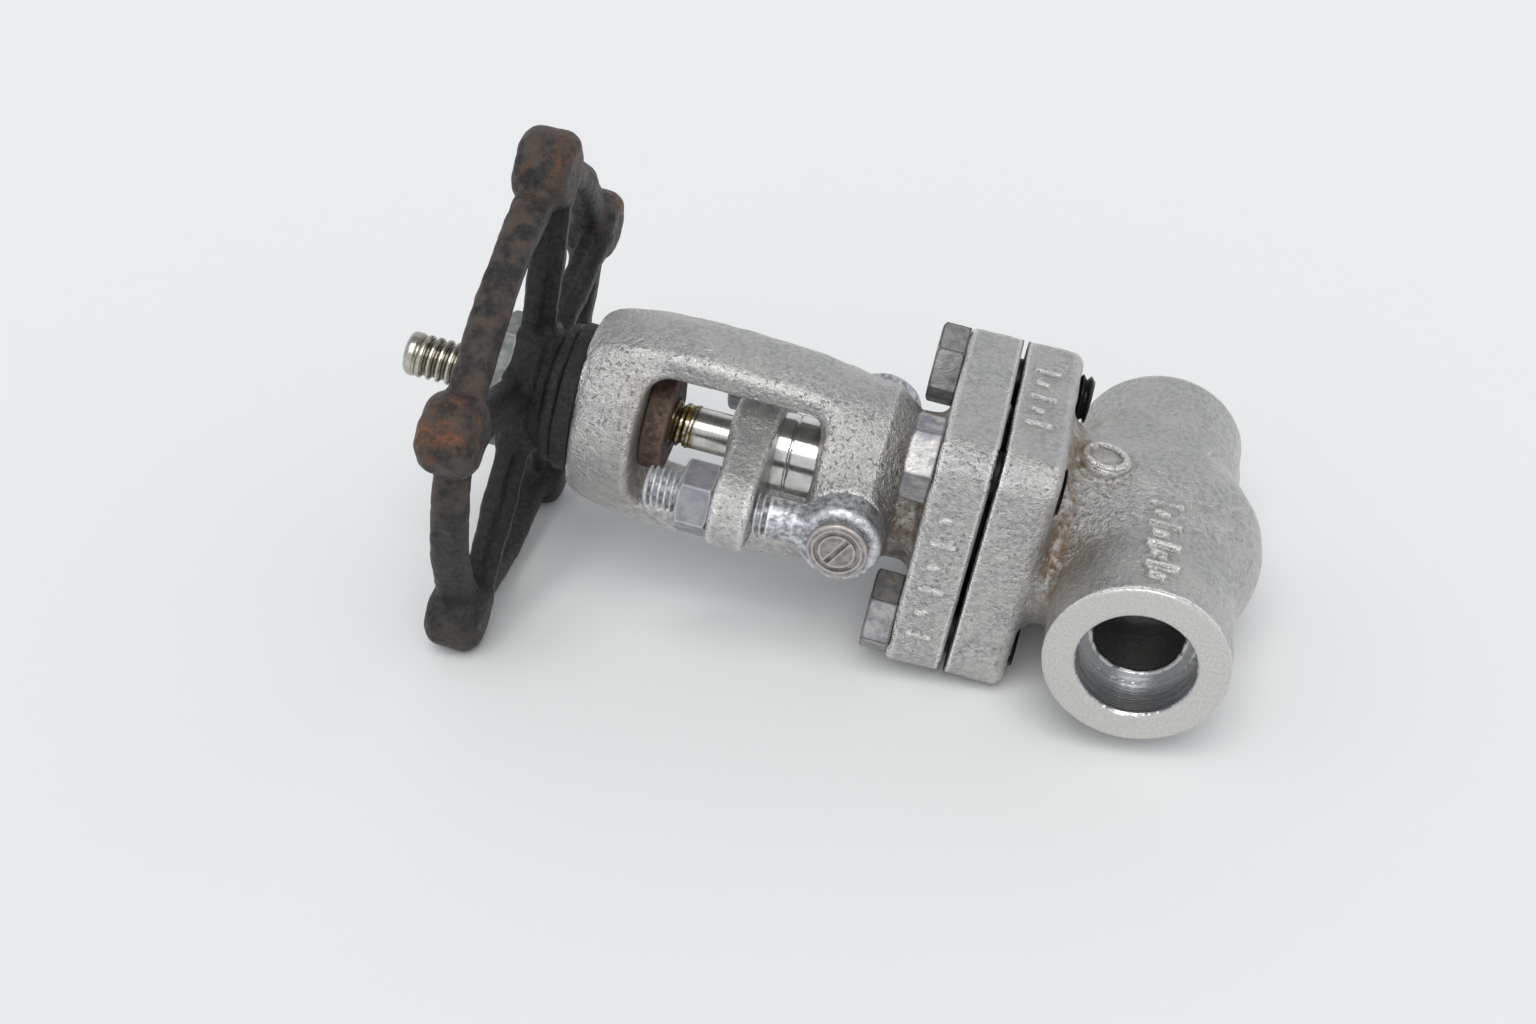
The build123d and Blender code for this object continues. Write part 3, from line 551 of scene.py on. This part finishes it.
def body_field(x, y, z):
    run = meet(hyp(y, z) - RUN_R, np.abs(x) - HALF_FACE, 0.9)
    across = hyp(x, y)
    neck = np.maximum(across - NECK_R - neck_flare(z), slab(z, NECK_FOOT, NECK_TOP))
    dome = hyp(x, y, z - NECK_FOOT) - NECK_R
    web = np.maximum(hyp(x * WEB_SLIM, y) - WEB_R - neck_flare(z), slab(z, WEB_FOOT, NECK_TOP))
    shell = fuse(run, union(neck, dome, web), 6.0)
    low, high = BODY_FLANGE
    shell = fuse(shell, flange_plate(x, y, z, low, high, (2.6, 0.5)), 4.5)
    rating = marks(x - RATING_AT[0], z - RATING_AT[1], 8, 3.4, 6.4)
    rating = np.maximum(meet(rating, slab(y, MARK_ROOT, RATING_TOP), 0.3), z - RATING_END)
    from_emblem = hyp(x - EMBLEM_AT[0], z - EMBLEM_AT[1])
    disc = meet(from_emblem - EMBLEM_R, slab(y, MARK_ROOT, EMBLEM_TOP), 0.3)
    ring = np.abs(from_emblem - EMBLEM_RING_R) - EMBLEM_RING_HALF
    ring = meet(ring, slab(y, MARK_ROOT, EMBLEM_RING_TOP), 0.3)
    heat_row = marks(x - HEAT_ROW_AT[0], z - HEAT_ROW_AT[1], 5, 5.0, 5.2)
    heat_row = meet(heat_row, slab(y, HEAT_ROW_ROOT, HEAT_ROW_TOP), 0.2)
    shell = fuse(shell, union(rating, disc, ring, heat_row), 0.5)
    shoulder = HALF_FACE - SOCKET_DEEP - np.abs(x)
    socket = np.maximum(hyp(y, z) - SOCKET_R, shoulder)
    port = np.maximum(hyp(y, z) - PORT_R, SEAT_POCKET - np.abs(x))
    port_edge = np.maximum(hyp(y, z) - PORT_R - RIM_CUT + shoulder, -shoulder)
    mouth = hyp(y, z) - SOCKET_R - RIM_CUT + (HALF_FACE - np.abs(x))
    chamber = np.maximum(rounded_rect(x, y, *CHAMBER_HALF, 1.2), CHAMBER_FLOOR - z)
    gasket = np.maximum(across - GASKET_R, high - GASKET_DEEP - z)
    from_bolt = hyp(np.abs(x) - BOLT_AT, np.abs(y) - BOLT_AT)
    holes = np.maximum(from_bolt - BOLT_R - 0.05, TAPPED_END - z)
    hollow = union(socket, port, port_edge, mouth, chamber, gasket, holes)
    return np.maximum(shell, -hollow)


def body_bore_shade(x, y, z):
    """1 where painted shade makes it near black: the passage, the chamber and the mating face, whose gap
    looks black; 0 elsewhere.
    """
    inner = np.abs(x) < HALF_FACE - SOCKET_DEEP - 0.25
    pipe = (hyp(y, z) < PORT_R + 1.3) * (np.abs(x) > 7) * inner
    chamber = (np.abs(x) < 7.6) * (hyp(x, y) < 13) * (z > -11)
    mating = np.clip((z - BODY_FLANGE[1] + 0.45) / 0.2, 0, 1)
    return np.clip(0.7 * pipe + chamber + mating, 0, 1)


def body_socket(x, y, z):
    """1 on the polished walls and shoulder of the weld sockets."""
    depth = HALF_FACE - np.abs(x)
    return 1.0 * (hyp(y, z) < SOCKET_R + 0.35) * (depth < SOCKET_DEEP + 0.6) * (depth > 0.3)


def body_machined(x, y, z):
    face = np.clip((np.abs(x) - HALF_FACE + 0.7) / 0.4, 0, 1)
    return np.clip(body_bore_shade(x, y, z) + body_socket(x, y, z) + face, 0, 1)


def body_stain_and_shade(x, y, z):
    # painted shade with brown dirt in the crease round the neck and in the corners under the flange, more
    # on the upper side
    near_neck = np.exp(-(((z - 18.5) / 2.6) ** 2)) * np.clip((hyp(x, y) - 15) / 5, 0, 1)
    corner = np.exp(-(((np.abs(x) - 24) / 4) ** 2) - ((z - 15) / 5) ** 2)
    return np.clip(0.8 * near_neck + 0.5 * corner, 0, 1) * np.clip((y + 8) / 12, 0.25, 1)


FORGING_LUMPS = ((10.0, 0.18, 1), (3.6, 0.10, 2), (1.6, 0.055, 3))
make("valve_body_forging", body_field, (-41, -27.5, -24), (41, 27.5, 34), 0.45, "root", ["valve_body"],
     FORGED, FORGING_LUMPS, body_machined,
     attributes={"stain_and_shade": body_stain_and_shade, "bore": body_bore_shade, "sleek": body_socket})

# ---- bonnet and yoke -----------------------------------------------------------------
BASE_TOP, EYE_Z = 66.0, 57.8
BASE_R, BASE_FLARE = 15.0, 3.5
BOSS_R, BOSS_END = 7.4, 19.4
HUB_R, HUB_BOTTOM, HUB_TOP = 16.5, 101.5, 114.5
WINDOW_HALF, WINDOW_CORNER = 14.5, 4.0
SPIGOT_R, BOX_R = 16.9, 8.1
BOLT_HOLE_R, PIN_HOLE_R, PIN_HOLE_FROM = 5.2, 3.51, 10.6
STAMP_AT, STAMP_TOP = (-2.5, 39.0), 26.35
ARM_HALF = 9.0
# heights up the yoke and its half widths there
ARM_OUTLINE = [
    (50, 12.0), (58, 16.0), (67, 19.9), (80, 21.1), (98, 21.3), (106, 20.2), (112, 17.2), (115.5, 12.5),
]


def bonnet_field(x, y, z):
    low, high = BONNET_FLANGE
    across = hyp(x, y)
    width, slope = smooth_steps(z, ARM_OUTLINE)
    crown = 1.6 * np.minimum(x / ARM_HALF, 1.2) ** 2
    side = (np.abs(y) - width + crown) / np.sqrt(1 + slope**2) * 0.95
    loop = meet(np.maximum(side, slab(z, 54, HUB_TOP)), np.abs(x) - ARM_HALF, 1.6)
    hub = meet(across - HUB_R, slab(z, HUB_BOTTOM - 1, HUB_TOP), 2.6)
    loop = np.maximum(fuse(loop, hub, 6.0), z - HUB_TOP)
    middle, half_high = (BASE_TOP + HUB_BOTTOM) / 2, (HUB_BOTTOM - BASE_TOP) / 2
    window = rounded_rect(y, z - middle, WINDOW_HALF, half_high, WINDOW_CORNER)
    loop = meet(loop, -window, 1.8)
    radius = BASE_R + BASE_FLARE * np.clip((z - 49.5) / 5, 0, 1)
    base = meet(across - radius, slab(z, 40, BASE_TOP), 2.2)
    bosses = meet(hyp(y, z - EYE_Z) - BOSS_R, np.abs(x) - BOSS_END, 0.8)
    base = fuse(base, bosses, 3.0)
    shell = fuse(loop, base, 3.0)
    shell = fuse(shell, flange_plate(x, y, z, low, high, (0.5, 1.2)), 2.5)
    stamp = marks(y - STAMP_AT[0], z - STAMP_AT[1], 6, 5.4, 5.0)
    stamp = meet(stamp, slab(x, 20, STAMP_TOP), 0.2)
    shell = fuse(shell, stamp, 0.4)
    spigot = np.maximum(across - SPIGOT_R, slab(z, 32.2, 36))
    shell = np.minimum(shell, spigot)
    chamber = np.maximum(across - 9.0, slab(z, 30, 35.5))
    bush = np.maximum(across - 7.0, slab(z, 35, 43))
    box = np.maximum(across - BOX_R, slab(z, 42, 67))
    mouth = np.maximum(across - BOX_R - (z - BASE_TOP + 0.8), slab(z, BASE_TOP - 0.8, 67))
    sleeve = np.maximum(across - 8.6, slab(z, 100, 117))
    from_bolt = hyp(np.abs(x) - BOLT_AT, np.abs(y) - BOLT_AT)
    holes = np.maximum(from_bolt - BOLT_HOLE_R, slab(z, low - 1, high + 1))
    pins = np.maximum(hyp(y, z - EYE_Z) - PIN_HOLE_R, slab(np.abs(x), PIN_HOLE_FROM, 28))
    hollow = union(chamber, bush, box, mouth, sleeve, holes, pins)
    return np.maximum(shell, -hollow)


def bonnet_gap_shade(x, y, z):
    # painted shade: the mating face, whose gap looks black, is made near black
    return np.clip((BONNET_FLANGE[0] + 0.45 - z) / 0.2, 0, 1)


def bonnet_machined(x, y, z):
    mating = bonnet_gap_shade(x, y, z)
    bore = np.clip((9.2 - hyp(x, y)) / 0.3, 0, 1)
    top = np.clip((z - HUB_TOP + 0.3) / 0.2, 0, 1) * (hyp(x, y) < 14.5)
    return np.clip(mating + bore + top, 0, 1)


def bonnet_stain_and_shade(x, y, z):
    # painted shade with brown dirt: above the flange, at the mouth of the stuffing box and at the top of
    # the window under the hub
    under = np.exp(-(((z - 46.5) / 3.5) ** 2)) * (hyp(x, y) < 24)
    mouth = np.exp(-(((z - BASE_TOP) / 2.5) ** 2)) * (hyp(x, y) < 14)
    window = np.exp(-(((z - 100) / 4.0) ** 2)) * (np.abs(y) < 15)
    return np.clip(0.8 * under + 0.5 * mouth + 0.55 * window, 0, 1)


make("yoke_bonnet_forging", bonnet_field, (-27.5, -27.5, 30.5), (27.5, 27.5, 118), 0.5, "root", ["bonnet"],
     FORGED, FORGING_LUMPS, bonnet_machined,
     attributes={"stain_and_shade": bonnet_stain_and_shade, "bore": bonnet_gap_shade})

# ---- handwheel -----------------------------------------------------------------------
FIRST_LOBE = math.radians(18)
SECTOR = 2 * math.pi / 5
LOBE_CIRCLE, LOBE_R, LOBE_HALF = 47.65, 7.6, 5.6
# each stretch of rim between two lobes is an arc of its own, flatter than the wheel
RIM_MIDDLE, RIM_ARC, RIM_HALF = 42.2, 61.15, (3.1, 3.4)
SPOKE, SPOKE_HALF, SPOKE_TAPER = (125.8, 129.2), 4.5, 1.25
RIB, RIB_HALF = (123.2, 127), 1.5
WHEEL_HUB, WHEEL_HUB_R = (118.2, 129.2), 13.5
DRIVE_ACROSS = 14.62


def wheel_field(x, y, z):
    across = hyp(x, y)
    angle = np.arctan2(y, x) - FIRST_LOBE
    between = angle % SECTOR - SECTOR / 2
    bow = hyp(across * np.cos(between) + RIM_ARC - RIM_MIDDLE, across * np.sin(between)) - RIM_ARC
    rim = rounded_rect(bow, z - WHEEL_Z, *RIM_HALF, 2.2)
    sector = (angle + SECTOR / 2) % SECTOR - SECTOR / 2
    along, aside = across * np.cos(sector), across * np.sin(sector)
    lobe = meet(hyp(along - LOBE_CIRCLE, aside) - LOBE_R, np.abs(z - WHEEL_Z) - LOBE_HALF, 3.6)
    half_wide = SPOKE_HALF - SPOKE_TAPER * np.clip((along - 11) / 33, 0, 1)
    spoke = meet(np.maximum(np.abs(aside) - half_wide, slab(along, 6, 45)), slab(z, *SPOKE), 1.2)
    rib = meet(np.abs(aside) - RIB_HALF, slab(z, *RIB), 0.8)
    rib = np.maximum(rib, slab(along, 6, 44))
    wheel = fuse(fuse(rim, spoke, 2.5), rib, 1.5)
    wheel = fuse(wheel, lobe, 1.2)
    groove = 1.2 * np.clip(1.8 - np.abs(z - 122.2), 0, 1)
    collar = 0.8 * np.clip(121 - z, 0, 1)
    hub = meet(across - WHEEL_HUB_R + (groove - collar), slab(z, *WHEEL_HUB), 0.9)
    wheel = fuse(wheel, hub, 2.5)
    return np.maximum(wheel, -hexagon(x, y, DRIVE_ACROSS))


def wheel_wear_and_top_light(x, y, z):
    across = hyp(x, y)
    lobes = np.clip((across - 46) / 5, 0, 1)
    rim = 0.35 * np.clip((across - 40) / 4, 0, 1)
    # painted light: the upper half, lit from above, gets more of the brown tinge and rust
    upper = 0.22 + 0.78 * np.clip((y + 12) / 20, 0, 1)
    return np.clip(0.42 * lobes + rim, 0, 1) * upper


make("handwheel_casting", wheel_field, (-57, -57, 116), (57, 57, 137), 0.55, "handwheel_body",
     ["handwheel"], IRON, ((7.0, 0.28, 4), (2.6, 0.16, 5), (1.3, 0.08, 6)),
     attributes={"wear_and_top_light": wheel_wear_and_top_light})

# ---- screws --------------------------------------------------------------------------
STEM_R, THREAD_R, THREAD_FROM, STEM_TOP = 4.3, 4.5, 92.0, 152.4
STEM_PITCH, STEM_GROOVE = 2.0, 0.75
COLLAR_R, COLLAR_TOP = 6.0, 28.75
LEFT_HAND, RIGHT_HAND = -1, 1


def stem_field(x, y, z):
    across = hyp(x, y)
    shank = np.maximum(across - STEM_R, slab(z, 25, 94))
    shoulder = np.maximum(across - COLLAR_R, slab(z, 25.5, COLLAR_TOP))
    cone = np.maximum(across - COLLAR_R + (z - COLLAR_TOP), slab(z, 28, 31))
    depth = STEM_GROOVE * np.clip((STEM_TOP - 1.5 - z) / 3, 0, 1)
    screw = 0.6 * helix(x, y, z, THREAD_R, depth, STEM_PITCH, LEFT_HAND, 0.22)
    tip = meet(across - THREAD_R, z - STEM_TOP, 1.2)
    screw = common(screw, THREAD_FROM - z, tip)
    flats = np.maximum(rounded_rect(x, y, 3.5, 2.9, 0.2), slab(z, 19.9, 26))
    head = meet(rounded_rect(x, y, 4.2, 5.2, 0.3), slab(z, 16.9, 19.9), 0.2)
    return union(shank, shoulder, cone, screw, flats, head)


def stem_grease(x, y, z):
    near_nut = np.clip((z - 91.5) / 1.0, 0, 1) * np.clip((99 - z) / 1.5, 0, 1)
    return np.clip(near_nut + 0.3 * (z > 100), 0, 1)


def up_the_stem(x, y, z):
    return z


make("stem_screw", stem_field, (-6.6, -6.6, 16), (6.6, 6.6, 153.2), 0.16, "stem_body", ["stem"],
     STEM, attributes={"lathe": up_the_stem, "grease": stem_grease}, bend_size=0.3)


# the slope of the turned-off corners of nuts and bolt heads, and of the pins' slots
SIN_30, COS_30 = 0.5, 0.866
CORNER_CUT = 0.9


def crowned(x, y, z, across, low, high, turn, both):
    """Hexagon whose corners are turned off at the top, or at both ends."""
    corner = across / 2 / math.cos(math.radians(30))
    turned_off = (hyp(x, y) - corner + CORNER_CUT) * SIN_30
    shape = meet(hexagon(x, y, across, turn), slab(z, low, high), 0.25)
    shape = np.maximum(shape, turned_off + (z - high) * COS_30)
    if both:
        shape = np.maximum(shape, turned_off + (low - z) * COS_30)
    return shape


HEAD_ACROSS, HEAD_HIGH = 14.3, 5.7
BOLT_PITCH, BOLT_GROOVE = 1.5875, 0.85


def bolt_field(x, y, z, head_turn, end_z):
    top = BONNET_FLANGE[1] + HEAD_HIGH
    head = crowned(x, y, z, HEAD_ACROSS, BONNET_FLANGE[1], top, head_turn, False)
    shank = np.maximum(hyp(x, y) - BOLT_R, slab(z, 30, 45))
    screw = 0.7 * helix(x, y, z, BOLT_R, BOLT_GROOVE, BOLT_PITCH, RIGHT_HAND, 0.1)
    screw = np.maximum(screw, meet(hyp(x, y) - BOLT_R, end_z - z, 0.6))
    screw = np.maximum(screw, z - 31)
    return union(head, shank, screw)


def bolt_gap_shade(x, y, z):
    """Painted shade: the shank and thread below the bonnet flange, in the dark gap and the body's holes,
    are made near black.
    """
    return 0.95 * np.clip((34.2 - z) / 0.4, 0, 1)


# the side in x and in y, how far the head happens to be turned, and where the bolt ends
CORNERS = {
    "upper_front": (1, 1, 7, 20.2),
    "upper_rear": (-1, 1, 49, 17.9),
    "lower_front": (1, -1, 48, 20.2),
    "lower_rear": (-1, -1, 22, 17.9),
}
for corner, (side_x, side_y, head_turn, end_z) in CORNERS.items():
    make("bolt_" + corner, functools.partial(bolt_field, head_turn=head_turn, end_z=end_z),
         (-8.6, -8.6, 17), (8.6, 8.6, 51), 0.22, "root", ["bonnet_bolt_" + corner], BOLT,
         ((4.0, 0.05, 7), (1.2, 0.03, 8)), bend_size=0.5, attributes={"gap_shade": bolt_gap_shade},
         shift=(side_x * BOLT_AT, side_y * BOLT_AT, 0))

# ---- gland ---------------------------------------------------------------------------
GLAND, GLAND_EDGE = (75.2, 84.4), 1.3
GLAND_WAIST, GLAND_END = 11.0, 8.0
NUT_SEAT = 82.8
EYE_X = 23.5


def gland_field(x, y, z):
    from_eye = hyp(np.abs(x) - EYE_X, y)
    bar = union(hyp(x, y) - GLAND_WAIST, from_eye - GLAND_END)
    lean = math.hypot(1, (GLAND_WAIST - GLAND_END) / EYE_X)
    wedge_side = (np.abs(y) - 11.1 + 3.1 * np.abs(x) / EYE_X) / lean
    bar = np.minimum(bar, np.maximum(wedge_side, np.abs(x) - EYE_X))
    top = GLAND[1] - (GLAND[1] - NUT_SEAT) * np.clip((np.abs(x) - 9.5) / 6.0, 0, 1)
    plate = meet(bar, np.maximum(GLAND[0] - z, z - top), GLAND_EDGE)
    holes = union(hyp(x, y) - 5.1, from_eye - 4.45)
    return np.maximum(plate, -holes)


def gland_bore_shade(x, y, z):
    # painted shade: the gland's bore is made near black
    return 1.0 * (hyp(x, y) < 5.4)


make("gland_follower_forging", gland_field, (-32.5, -12, 74), (32.5, 12, 86), 0.4, "gland_body",
     ["gland_flange"], FORGED, ((6.0, 0.16, 9), (2.2, 0.09, 10), (1.2, 0.05, 12)),
     attributes={"bore": gland_bore_shade})


def gland_bush_field(x, y, z):
    tube = meet(hyp(x, y) - 8.0, slab(z, 60.4, 75.4), 0.3)
    groove = hyp(hyp(x, y) - 8.15, z - 72.2) - 0.4
    return common(tube, -groove, 4.6 - hyp(x, y))


make("gland_bush_turning", gland_bush_field, (-8.8, -8.8, 59.6), (8.8, 8.8, 76.2), 0.2, "gland_body",
     ["gland_bush"], POLISHED, attributes={"lathe": up_the_stem}, bend_size=0.3)

# ---- eyebolts, their pins and nuts ---------------------------------------------------
EYE_THICK, EYE_R = 7.6, 8.0
STUD_R, STUD_TOP, STUD_THREAD_FROM, STUD_PITCH = 4.0, 96.2, 69.5, 1.25
PIN_R, PIN_HEAD_R, PIN_HEAD = 3.5, 5.9, (27.3, 29.1)
GLAND_NUT_ACROSS, GLAND_NUT_HIGH, GLAND_NUT_TURN = 12.7, 6.5, 48


def eyebolt_field(x, y, z):
    eye = meet(hyp(y, z - EYE_Z) - EYE_R, np.abs(x) - EYE_THICK / 2, 1.6)
    across = hyp(x, y)
    shank = np.maximum(across - STUD_R, slab(z, EYE_Z + 5, 72))
    eye = fuse(eye, shank, 1.8)
    screw = 0.7 * helix(x, y, z, STUD_R, 0.7, STUD_PITCH, RIGHT_HAND, 0.12)
    screw = common(screw, STUD_THREAD_FROM - z, meet(across - STUD_R, z - STUD_TOP, 0.7))
    hole = np.maximum(hyp(y, z - EYE_Z) - 3.55, np.abs(x) - 5)
    return np.maximum(np.minimum(eye, screw), -hole)


def pin_field(x, y, z, side):
    """Headed pin, with a groove round its face and a slot across; side 1 is the front one."""
    outward = side * x
    radius = hyp(y, z - EYE_Z)
    head = meet(radius - PIN_HEAD_R, slab(outward, *PIN_HEAD), 0.5)
    groove = np.maximum(np.abs(radius - 4.0) - 0.45, 28.5 - outward)
    slot = np.abs(SIN_30 * y + COS_30 * (z - EYE_Z)) - 0.45
    slot = common(slot, radius - 3.3, 28.3 - outward)
    shank = np.maximum(radius - PIN_R, slab(outward, PIN_HOLE_FROM, 27.5))
    return union(common(head, -groove, -slot), shank)


def gland_nut_field(x, y, z):
    high = NUT_SEAT + GLAND_NUT_HIGH
    nut = crowned(x, y, z, GLAND_NUT_ACROSS, NUT_SEAT, high, GLAND_NUT_TURN, True)
    return np.maximum(nut, STUD_R + 0.06 - hyp(x, y))


def stud_smooth(x, y, z):
    """1 on the threaded end, which has no lumps."""
    return np.clip((z - 69) / 2, 0, 1)


for name, side in (("front", 1), ("rear", -1)):
    make("eyebolt_forging_" + name, eyebolt_field, (-4.6, -8.8, 49), (4.6, 8.8, 97.0), 0.22, "root",
         ["eyebolt_" + name], ZINC, ((2.6, 0.10, 13), (1.1, 0.06, 14)), stud_smooth,
         bend_size=0.5, shift=(side * EYE_X, 0, 0))
    inner, outer = sorted((side * 10.0, side * 30.0))
    make("pin_headed_" + name, functools.partial(pin_field, side=side), (inner, -6.6, 51),
         (outer, 6.6, 64.6), 0.2, "root", ["eyebolt_pin_" + name], PIN,
         ((1.8, 0.04, 15),), bend_size=0.5)
    make("gland_nut_hexagon_" + name, gland_nut_field, (-8, -8, 82.0), (8, 8, 90.0), 0.22,
         "gland_nut_" + name + "_body", ["gland_nut_" + name], NUT, ((3.0, 0.03, 16),),
         bend_size=0.5, shift=(side * EYE_X, 0, 0))

# ---- yoke nut, washer and wheel nut --------------------------------------------------
YOKE_NUT_BORE = 4.6
WHEEL_NUT, WHEEL_NUT_ACROSS, WHEEL_NUT_TURN, WHEEL_NUT_BORE = (129.2, 134.0), 24.0, 11, 7.05
RING_R, RING_BORE, RING_TOP = 15.0, 8.6, 118.1


def yoke_nut_field(x, y, z):
    across = hyp(x, y)
    flange = meet(across - 10.0, slab(z, 96.6, 101.4), 0.8)
    sleeve = np.maximum(across - 8.5, slab(z, 97, 118.2))
    drive = np.maximum(hexagon(x, y, 14.5), slab(z, 118, 127.5))
    end = meet(across - 7.0, slab(z, 127, 133.5), 0.4)
    bore = YOKE_NUT_BORE + np.clip(97.4 - z, 0, 1)
    return np.maximum(union(flange, sleeve, drive, end), bore - across)


def yoke_nut_bore(x, y, z):
    return 1.0 * (hyp(x, y) < YOKE_NUT_BORE + 0.3)


make("yoke_nut_turning", yoke_nut_field, (-10.8, -10.8, 96), (10.8, 10.8, 134.2), 0.3, "handwheel_body",
     ["yoke_nut"], BROWN, ((1.6, 0.10, 17), (3.4, 0.10, 18)), yoke_nut_bore)


def washer_field(x, y, z):
    ring = meet(hyp(x, y) - RING_R, slab(z, HUB_TOP, RING_TOP), 0.5)
    return np.maximum(ring, RING_BORE - hyp(x, y))


make("thrust_ring", washer_field, (-15.6, -15.6, 113.8), (15.6, 15.6, 118.8), 0.3, "root",
     ["thrust_washer"], IRON, ((2.0, 0.05, 19),))


def wheel_nut_field(x, y, z):
    nut = crowned(x, y, z, WHEEL_NUT_ACROSS, *WHEEL_NUT, WHEEL_NUT_TURN, True)
    return np.maximum(nut, WHEEL_NUT_BORE - hyp(x, y))


make("wheel_nut_hexagon", wheel_nut_field, (-14.8, -14.8, 128.6), (14.8, 14.8, 134.6), 0.3,
     "handwheel_body", ["handwheel_nut"], GREY, ((4.0, 0.05, 20),), bend_size=0.6)

# ---- inner pieces keep their CAD shape -------------------------------------------------
INNER = {name: TURNED for name in ("seat_ring_front", "seat_ring_rear", "wedge", "backseat_bush")}
INNER["bonnet_gasket"] = GRAPHITE
INNER.update({f"packing_ring_{k}": GRAPHITE for k in range(1, 6)})
for node_name, material in INNER.items():
    mesh = frame["nodes"][node_name].data
    local = (np.array([v.co for v in mesh.vertices]) / MM - ORIGIN) @ UPRIGHT.T
    place = mesh.attributes.new("upright", "FLOAT_VECTOR", "POINT")
    place.data.foreach_set("vector", local.astype(np.float32).ravel())
    turned = hyp(local[:, 1], local[:, 2]) if node_name.startswith("seat") else local[:, 2]
    lathe = mesh.attributes.new("lathe", "FLOAT", "POINT")
    lathe.data.foreach_set("value", turned.astype(np.float32))
    mesh.materials.clear()
    mesh.materials.append(material)

# ---- camera, floor, light --------------------------------------------------------------
CAMERA_AT = (343.8, 222.5, 43.2)
# right, down and forward as the camera has them, in the upright valve's frame
CAMERA_ROWS = np.array([[-0.206, 0.171, -0.964], [0.534, -0.806, -0.257], [-0.820, -0.567, 0.075]])
SENSOR_WIDTH = 36.0
LENS = 2065.7 / 1536 * SENSOR_WIDTH
FLOOR_HALF = 4
right, down, forward = CAMERA_ROWS @ UPRIGHT
camera_turn = Matrix([right, -down, -forward]).transposed().to_4x4()
camera = bpy.data.objects.new("camera", bpy.data.cameras.new("camera"))
bpy.context.scene.collection.objects.link(camera)
camera.matrix_world = Matrix.Translation(lay([CAMERA_AT])[0]) @ camera_turn
camera.data.sensor_width = SENSOR_WIDTH
camera.data.lens = LENS
bpy.context.scene.camera = camera

floor_mesh = bpy.data.meshes.new("floor")
floor_corners = [(FLOOR_HALF * a, FLOOR_HALF * b, 0) for a, b in ((-1, -1), (1, -1), (1, 1), (-1, 1))]
floor_mesh.from_pydata(floor_corners, [], [(0, 1, 2, 3)])
floor = bpy.data.objects.new("floor", floor_mesh)
bpy.context.scene.collection.objects.link(floor)
paper = bpy.data.materials.new("paper")
paper.use_nodes = True
paper_shader = paper.node_tree.nodes["Principled BSDF"]
paper_shader.inputs["Base Color"].default_value = (0.80, 0.81, 0.815, 1)
paper_shader.inputs["Roughness"].default_value = 0.8
floor_mesh.materials.append(paper)


sun_data = bpy.data.lights.new("overhead", "SUN")
sun_data.energy = 1.8
sun_data.angle = math.radians(46)
sun_data.color = (1.0, 0.99, 0.97)
sun = bpy.data.objects.new("overhead", sun_data)
bpy.context.scene.collection.objects.link(sun)
sun.rotation_euler = Vector((-0.05, 0.52, -0.85)).to_track_quat("-Z", "Y").to_euler()

# pale walls all round, bright near the horizon and darker overhead
world = bpy.data.worlds.new("studio")
bpy.context.scene.world = world
world.use_nodes = True
nodes, links = world.node_tree.nodes, world.node_tree.links
background = nodes["Background"]
background.inputs["Color"].default_value = (0.94, 0.965, 1.0, 1)
direction = nodes.new("ShaderNodeTexCoord")
split = nodes.new("ShaderNodeSeparateXYZ")
walls = nodes.new("ShaderNodeMapRange")
walls.interpolation_type = "SMOOTHSTEP"
for socket, number in (("From Min", 0.50), ("From Max", 0.90), ("To Min", 0.86), ("To Max", 0.30)):
    walls.inputs[socket].default_value = number
links.new(direction.outputs["Generated"], split.inputs[0])
links.new(split.outputs["Z"], walls.inputs["Value"])
links.new(walls.outputs["Result"], background.inputs["Strength"])
bpy.context.scene.view_settings.view_transform = "Standard"
